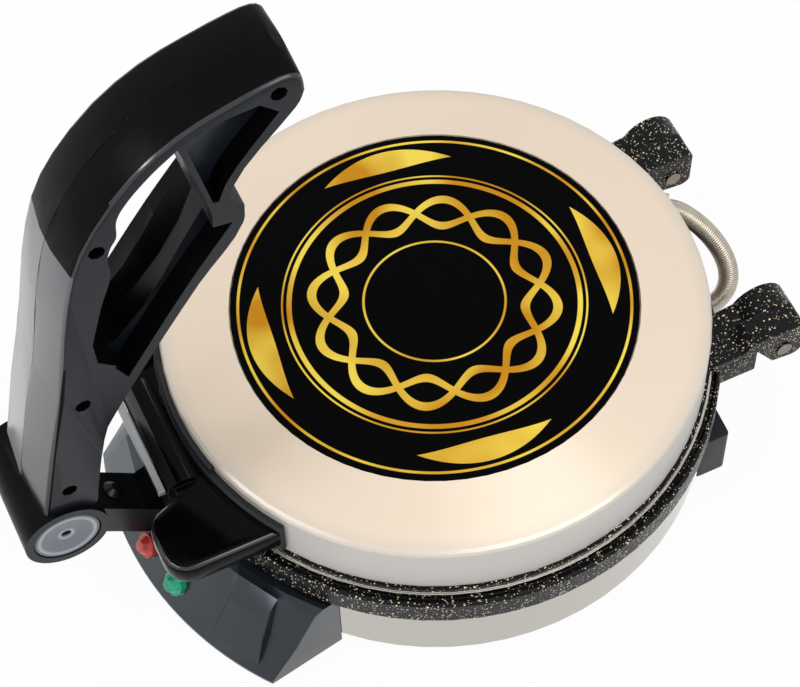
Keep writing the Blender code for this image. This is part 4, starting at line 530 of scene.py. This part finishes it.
# The same phenolic on the edges: glossier, and with a lighter base as a painted highlight,
# so thin bright lines run round every form
painted_edge_highlight, tree, shader, points = new_material("phenolic_edge_painted_highlight", "#1A1B1E", 0.16, 0.0,
                                                 Specular_IOR_Level=0.6)
wear = add_node(tree, "ShaderNodeTexNoise", {"Scale": 1 / 0.004, "Detail": 3.0}, {"Vector": points})
blur = add_node(tree, "ShaderNodeMapRange", {"To Min": 0.08, "To Max": 0.3},
                {"Value": wear.outputs["Fac"]})
tree.links.new(blur.outputs[0], shader.inputs["Roughness"])
handle = dressed("lid_handle", "lid", phenolic, edge=0.0012, gleam=painted_edge_highlight)
for face in handle.data.polygons:
    if lean_low < face.normal.z < lean_high:
        face.material_index = 1
dressed("handle_backplate", "lid", matt_plastic, edge=0.0005)

# 304 stainless steel, drawn and left satin: mid grey with lines along the strip
strip_metal, tree, shader, points = new_material("satin_stainless_strip", "#97999A", 0.34, 1.0)
drawn = add_node(tree, "ShaderNodeMapping", {"Scale": (1, 40, 40)}, {"Vector": points})
lines = add_node(tree, "ShaderNodeTexNoise", {"Scale": 1 / 0.02, "Detail": 3.0},
                 {"Vector": drawn.outputs[0]})
blur = add_node(tree, "ShaderNodeMapRange", {"To Min": 0.26, "To Max": 0.42},
                {"Value": lines.outputs["Fac"]})
tree.links.new(blur.outputs[0], shader.inputs["Roughness"])
dressed("handle_strip", "lid", strip_metal, edge=0.0003)

# Plain steel, turned and handled: warm grey with small stains
fastener, tree, shader, points = new_material("plain_steel_fastener", "#8A8176", 0.42, 1.0)
stains = add_node(tree, "ShaderNodeTexNoise", {"Scale": 1 / 0.0015, "Detail": 4.0}, {"Vector": points})
tones = add_node(tree, "ShaderNodeMix", {"data_type": "RGBA", 6: linear("#6B6156"), 7: linear("#A59C90")},
                 {0: stains.outputs["Fac"]})
tree.links.new(tones.outputs[2], shader.inputs["Base Color"])
dressed("handle_screw_left", "lid", fastener, edge=0.0003)
dressed("handle_screw_right", "lid", fastener, edge=0.0003)


# Hinge pins and conduit
# Each hinge turns on a plain steel pin with a flat head. The conduit is wound from steel strip, so its ribs
# are close and even, and it carries the upper heater's wires from ferrule to ferrule.
dressed("hinge_pin_left", "base", fastener, edge=0.0003)
dressed("hinge_pin_right", "base", fastener, edge=0.0003)

# Steel strip, wound: warm bright grey with soft stains
strip_steel, tree, shader, points = new_material("wound_steel_strip", "#B4AA9C", 0.3, 1.0)
stains = add_node(tree, "ShaderNodeTexNoise", {"Scale": 1 / 0.004, "Detail": 4.0}, {"Vector": points})
tones = add_node(tree, "ShaderNodeMix", {"data_type": "RGBA", 6: linear("#A3998B"), 7: linear("#C9C0B2")},
                 {0: stains.outputs["Fac"]})
tree.links.new(tones.outputs[2], shader.inputs["Base Color"])
dressed("conduit_ferrule_base", "base", strip_steel, edge=0.0004)
dressed("conduit_ferrule_lid", "lid", strip_steel, edge=0.0004)

# The conduit's centre line is a cubic curve that leaves each ferrule square. Its rib pitch is 1.1 mm.
lid_end = Vector((-0.01367, 0.14638, 0.0715))
base_end = Vector((0.016, 0.1504, 0.0245))
lid_turn = math.radians(35)
lid_pull = 0.015
base_pull = 0.035
pull_lid = lid_end + Vector((math.sin(lid_turn), math.cos(lid_turn), 0)) * lid_pull
pull_base = base_end + Vector((0, base_pull, 0))
rib_count = 70
ring_count = 4 * rib_count
hose_radius = 0.0044
rib_height = 0.00025
never_along = Vector((0.9, -0.35, 0.25))
hose = bmesh.new()
before = []
for step in range(ring_count + 1):
    t = step / ring_count
    centre = (lid_end * (1 - t) ** 3 + pull_lid * 3 * t * (1 - t) ** 2
              + pull_base * 3 * t ** 2 * (1 - t) + base_end * t ** 3)
    along = ((pull_lid - lid_end) * (1 - t) ** 2 + (pull_base - pull_lid) * 2 * t * (1 - t)
             + (base_end - pull_base) * t ** 2).normalized()
    side = along.cross(never_along).normalized()
    stand = Matrix((side, along.cross(side), along)).transposed().to_4x4()
    ring = bmesh.ops.create_circle(hose, cap_ends=step in (0, ring_count), segments=24,
                                   radius=hose_radius + rib_height * math.cos(math.tau * rib_count * t),
                                   matrix=Matrix.Translation(centre) @ stand)["verts"]
    edges = list({edge for vert in ring for edge in vert.link_edges})
    if before:
        bmesh.ops.bridge_loops(hose, edges=before + edges)
    before = edges
bmesh.ops.recalc_face_normals(hose, faces=hose.faces)
hose_mesh = bpy.data.meshes.new("conduit_wound")
hose.to_mesh(hose_mesh)
hose.free()
hose_mesh.materials.append(strip_steel)
hose_mesh.shade_smooth()
conduit = bpy.data.objects.new("conduit_wound", hose_mesh)
bpy.context.scene.collection.objects.link(conduit)
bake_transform(conduit)
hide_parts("conduit")


# Lever bracket
# A channel of folded steel under black paint, screwed to the band, which carries the lever's pin. A domed
# bolt and its nut tie its two sides.

# Paint, sprayed on steel: satin black with a fine orange peel
paint, tree, shader, points = new_material("black_painted_steel", "#0C0C0E", 0.32, 0.0,
                                           Specular_IOR_Level=0.25)
peel = add_node(tree, "ShaderNodeTexNoise", {"Scale": 1 / 0.0018, "Detail": 2.0}, {"Vector": points})
relief = add_node(tree, "ShaderNodeBump", {"Strength": 0.3, "Distance": 0.00008},
                  {"Height": peel.outputs["Fac"]})
tree.links.new(relief.outputs[0], shader.inputs["Normal"])
dressed("lever_bracket", "base", paint, edge=0.0004)
dressed("bracket_bolt", "base", paint, edge=0.0003)
for screw in ("bracket_nut", "bracket_screw", "pivot_pin"):
    dressed(screw, "base", fastener, edge=0.0003)


# Press lever
# Two ABS shells, moulded with pockets and bosses and screwed together over the pin. The front of the leg is
# polished like glass, and the arch above it has a fine grain where the hand lies.
grain_foot = 0.245
leg_foot = 0.0955
line_start = Vector((0, -0.165, 0.098))
line_lean = 0.24
front_reach = 0.009
arch_foot = 0.12
front_turn = -0.45
flat_side = 0.95
painted_reflection_foot = 0.1
painted_reflection_top = 0.235
seam_left = -0.002
seam_right = 0.001

# ABS, moulded with a fine grain: near black and satin, worn smoother in clouds by the hand.
# The grain is drawn 0.9 mm wide, coarser than the real one, so that it shows.
grip_plastic, tree, shader, points = new_material("fine_grained_abs", "#08080A", 0.3, 0.0,
                                                  Specular_IOR_Level=0.05)
grain = add_node(tree, "ShaderNodeTexNoise", {"Scale": 1 / 0.0009, "Detail": 3.0}, {"Vector": points})
relief = add_node(tree, "ShaderNodeBump", {"Strength": 0.15, "Distance": 0.00004},
                  {"Height": grain.outputs["Fac"]})
tree.links.new(relief.outputs[0], shader.inputs["Normal"])
hold = add_node(tree, "ShaderNodeTexNoise", {"Scale": 1 / 0.03, "Detail": 3.0}, {"Vector": points})
blur = add_node(tree, "ShaderNodeMapRange",
                {"From Min": 0.3, "From Max": 0.7, "To Min": 0.2, "To Max": 0.36},
                {"Value": hold.outputs["Fac"]})
tree.links.new(blur.outputs[0], shader.inputs["Roughness"])

# ABS, moulded smooth: dark slate flanks with faint flow marks
side_plastic, tree, shader, points = new_material("smooth_abs_sides", "#111419", 0.28, 0.0,
                                                  Specular_IOR_Level=0.2)
flow = add_node(tree, "ShaderNodeTexNoise", {"Scale": 1 / 0.02, "Detail": 3.0}, {"Vector": points})
tones = add_node(tree, "ShaderNodeMix", {"data_type": "RGBA", 6: linear("#0E1115"), 7: linear("#1B2027")},
                 {0: flow.outputs["Fac"]})
tree.links.new(tones.outputs[2], shader.inputs["Base Color"])
blur = add_node(tree, "ShaderNodeMapRange", {"To Min": 0.2, "To Max": 0.36},
                {"Value": flow.outputs["Fac"]})
tree.links.new(blur.outputs[0], shader.inputs["Roughness"])

# ABS, mirror polished: its grey base colour is a painted reflection, lighter on its left half at the foot,
# and nearly one grey on both halves at the top. These painted tones stay with the leg as the view turns.
leg_plastic, tree, shader, points = new_material("mirror_polished_abs_leg_painted_reflection", "#3A3B3F", 0.2, 0.0,
                                                 Specular_IOR_Level=0.45,
                                                 Coat_Weight=0.2, Coat_Roughness=0.24)
place = add_node(tree, "ShaderNodeSeparateXYZ", {}, {0: points})
height = add_node(tree, "ShaderNodeMapRange", {"From Min": painted_reflection_foot, "From Max": painted_reflection_top},
                  {"Value": place.outputs["Z"]})
# Painted reflections: a light grey on the left half and a darker grey on the right, each changing with
# height
right_painted_reflection = add_node(tree, "ShaderNodeMix",
                      {"data_type": "RGBA", 6: linear("#101114"), 7: linear("#505156")},
                      {0: height.outputs[0]})
left_painted_reflection = add_node(tree, "ShaderNodeMix",
                     {"data_type": "RGBA", 6: linear("#909095"), 7: linear("#55555A")},
                     {0: height.outputs[0]})
half = add_node(tree, "ShaderNodeMapRange", {"From Min": seam_left, "From Max": seam_right},
                {"Value": place.outputs["X"]})
tones = add_node(tree, "ShaderNodeMix", {"data_type": "RGBA"},
                 {0: half.outputs[0], 6: left_painted_reflection.outputs[2], 7: right_painted_reflection.outputs[2]})
tree.links.new(tones.outputs[2], shader.inputs["Base Color"])
waves = add_node(tree, "ShaderNodeTexNoise", {"Scale": 1 / 0.012, "Detail": 1.0}, {"Vector": points})
relief = add_node(tree, "ShaderNodeBump", {"Strength": 0.2, "Distance": 0.0001},
                  {"Height": waves.outputs["Fac"]})
tree.links.new(relief.outputs[0], shader.inputs["Normal"])


def smooth_outline(mesh, cuts=3):
    """Cut the edges round the flat sides and move the new points onto the curve through the corners. A rim
    is a sharp edge of a flat side, over 3 mm long, and it goes on where the next turns only a little."""
    sharp = 0.6
    least_length = 0.003
    goes_on = 0.8
    same_place = 0.00002
    skin = bmesh.new()
    skin.from_mesh(mesh)
    rims = [edge for edge in skin.edges if len(edge.link_faces) == 2 and edge.calc_face_angle() > sharp
            and any(abs(face.normal.x) > flat_side for face in edge.link_faces)
            and edge.calc_length() > least_length]
    moved = kdtree.KDTree(len(rims) * cuts)
    curved = []
    for edge in rims:
        ends = []
        for vert in edge.verts:
            chord = (edge.other_vert(vert).co - vert.co).normalized()
            onward = [(vert.co - other.other_vert(vert).co).normalized() for other in vert.link_edges
                      if other is not edge and other in rims]
            onward = [way for way in onward if way.dot(chord) > goes_on]
            ends.append((chord + onward[0]).normalized() if onward else chord)
        start, end = (vert.co for vert in edge.verts)
        length = (end - start).length
        for cut in range(1, cuts + 1):
            t = cut / (cuts + 1)
            place = (start * (1 - t) ** 3 + (start + ends[0] * length / 3) * 3 * t * (1 - t) ** 2
                     + (end + ends[1] * length / 3) * 3 * t ** 2 * (1 - t) + end * t ** 3)
            moved.insert(start.lerp(end, t), len(curved))
            curved.append(place)
    moved.balance()
    fresh = bmesh.ops.subdivide_edges(skin, edges=rims, cuts=cuts, use_grid_fill=True)["geom_inner"]
    for item in fresh:
        if isinstance(item, bmesh.types.BMVert):
            _, index, distance = moved.find(item.co)
            if distance < same_place:
                item.co = curved[index]
    skin.to_mesh(mesh)
    skin.free()


# The leg's front is the strip within 9 mm of the line that it follows, from the barrel up to the grain
for shell in ("lever_shell_left", "lever_shell_right"):
    piece = dressed(shell, "lever", grip_plastic, edge=0.0008, gleam=painted_edge_highlight)
    smooth_outline(piece.data)
    piece.data.materials.append(leg_plastic)
    piece.data.materials.append(side_plastic)
    skin = bmesh.new()
    skin.from_mesh(piece.data)
    bmesh.ops.bisect_plane(skin, geom=[*skin.verts, *skin.edges, *skin.faces], dist=0.000001,
                           plane_co=(0, 0, grain_foot), plane_no=(0, 0, 1))
    for face in skin.faces:
        middle = face.calc_center_median()
        front = line_start.y + (middle.z - line_start.z) * line_lean
        on_leg = leg_foot < middle.z < grain_foot and abs(middle.y - front) < front_reach
        if on_leg and face.normal.y < front_turn:
            face.material_index = 2
        elif abs(face.normal.x) > flat_side:
            face.material_index = 3
        # The arch's rounded rims take the painted edge highlight
        elif lean_low < abs(face.normal.x) < lean_high and middle.z > arch_foot:
            face.material_index = 1
    skin.to_mesh(piece.data)
    skin.free()

# Nylon, moulded and satin: mid grey. Its rings are painted light and shade: bright rings are painted
# highlights of ridges at its rim and round the middle, and near black is painted shade in the hollow
# middle and at the edge. The places along the ramp are shares of the cap's radius.
cap_plastic, tree, shader, points = new_material("satin_grey_nylon_cap", "#7C8590", 0.3, 0.0,
                                                 Specular_IOR_Level=0.5)
cap_low, cap_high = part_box("pivot_cap_right")
cap_middle = (cap_low + cap_high) / 2
flat = add_node(tree, "ShaderNodeMapping",
                {"Location": (0, -cap_middle.y, -cap_middle.z), "Scale": (0, 1, 1)},
                {"Vector": points})
spread = add_node(tree, "ShaderNodeVectorMath", {"operation": "LENGTH"}, {0: flat.outputs[0]})
share = add_node(tree, "ShaderNodeMapRange", {"From Max": (cap_high.z - cap_low.z) / 2},
                 {"Value": spread.outputs["Value"]})
tones = add_node(tree, "ShaderNodeValToRGB", {}, {0: share.outputs[0]})
# Painted shade, painted highlight and the cap's own grey
painted_shade_dark = "#0A0A0A"
face_grey = "#606870"
painted_ridge_highlight = "#A0A8B0"
tones.color_ramp.elements[0].color = linear(painted_shade_dark)
tones.color_ramp.elements[1].color = linear(painted_shade_dark)
for place, code in ((0.13, painted_shade_dark), (0.17, painted_ridge_highlight), (0.3, face_grey),
                    (0.75, face_grey), (0.85, painted_ridge_highlight), (0.92, face_grey)):
    tones.color_ramp.elements.new(place).color = linear(code)
cloud = add_node(tree, "ShaderNodeTexNoise", {"Scale": 1 / 0.004, "Detail": 3.0}, {"Vector": points})
blur = add_node(tree, "ShaderNodeMapRange", {"To Min": 0.22, "To Max": 0.38},
                {"Value": cloud.outputs["Fac"]})
tree.links.new(blur.outputs[0], shader.inputs["Roughness"])
tree.links.new(tones.outputs[0], shader.inputs["Base Color"])
dressed("pivot_cap_left", "lever", cap_plastic, edge=0.0005)
dressed("pivot_cap_right", "lever", cap_plastic, edge=0.0005)
for screw in ("lever_screw_1", "lever_screw_2", "lever_screw_3", "lever_screw_4"):
    dressed(screw, "lever", fastener, edge=0.0003)
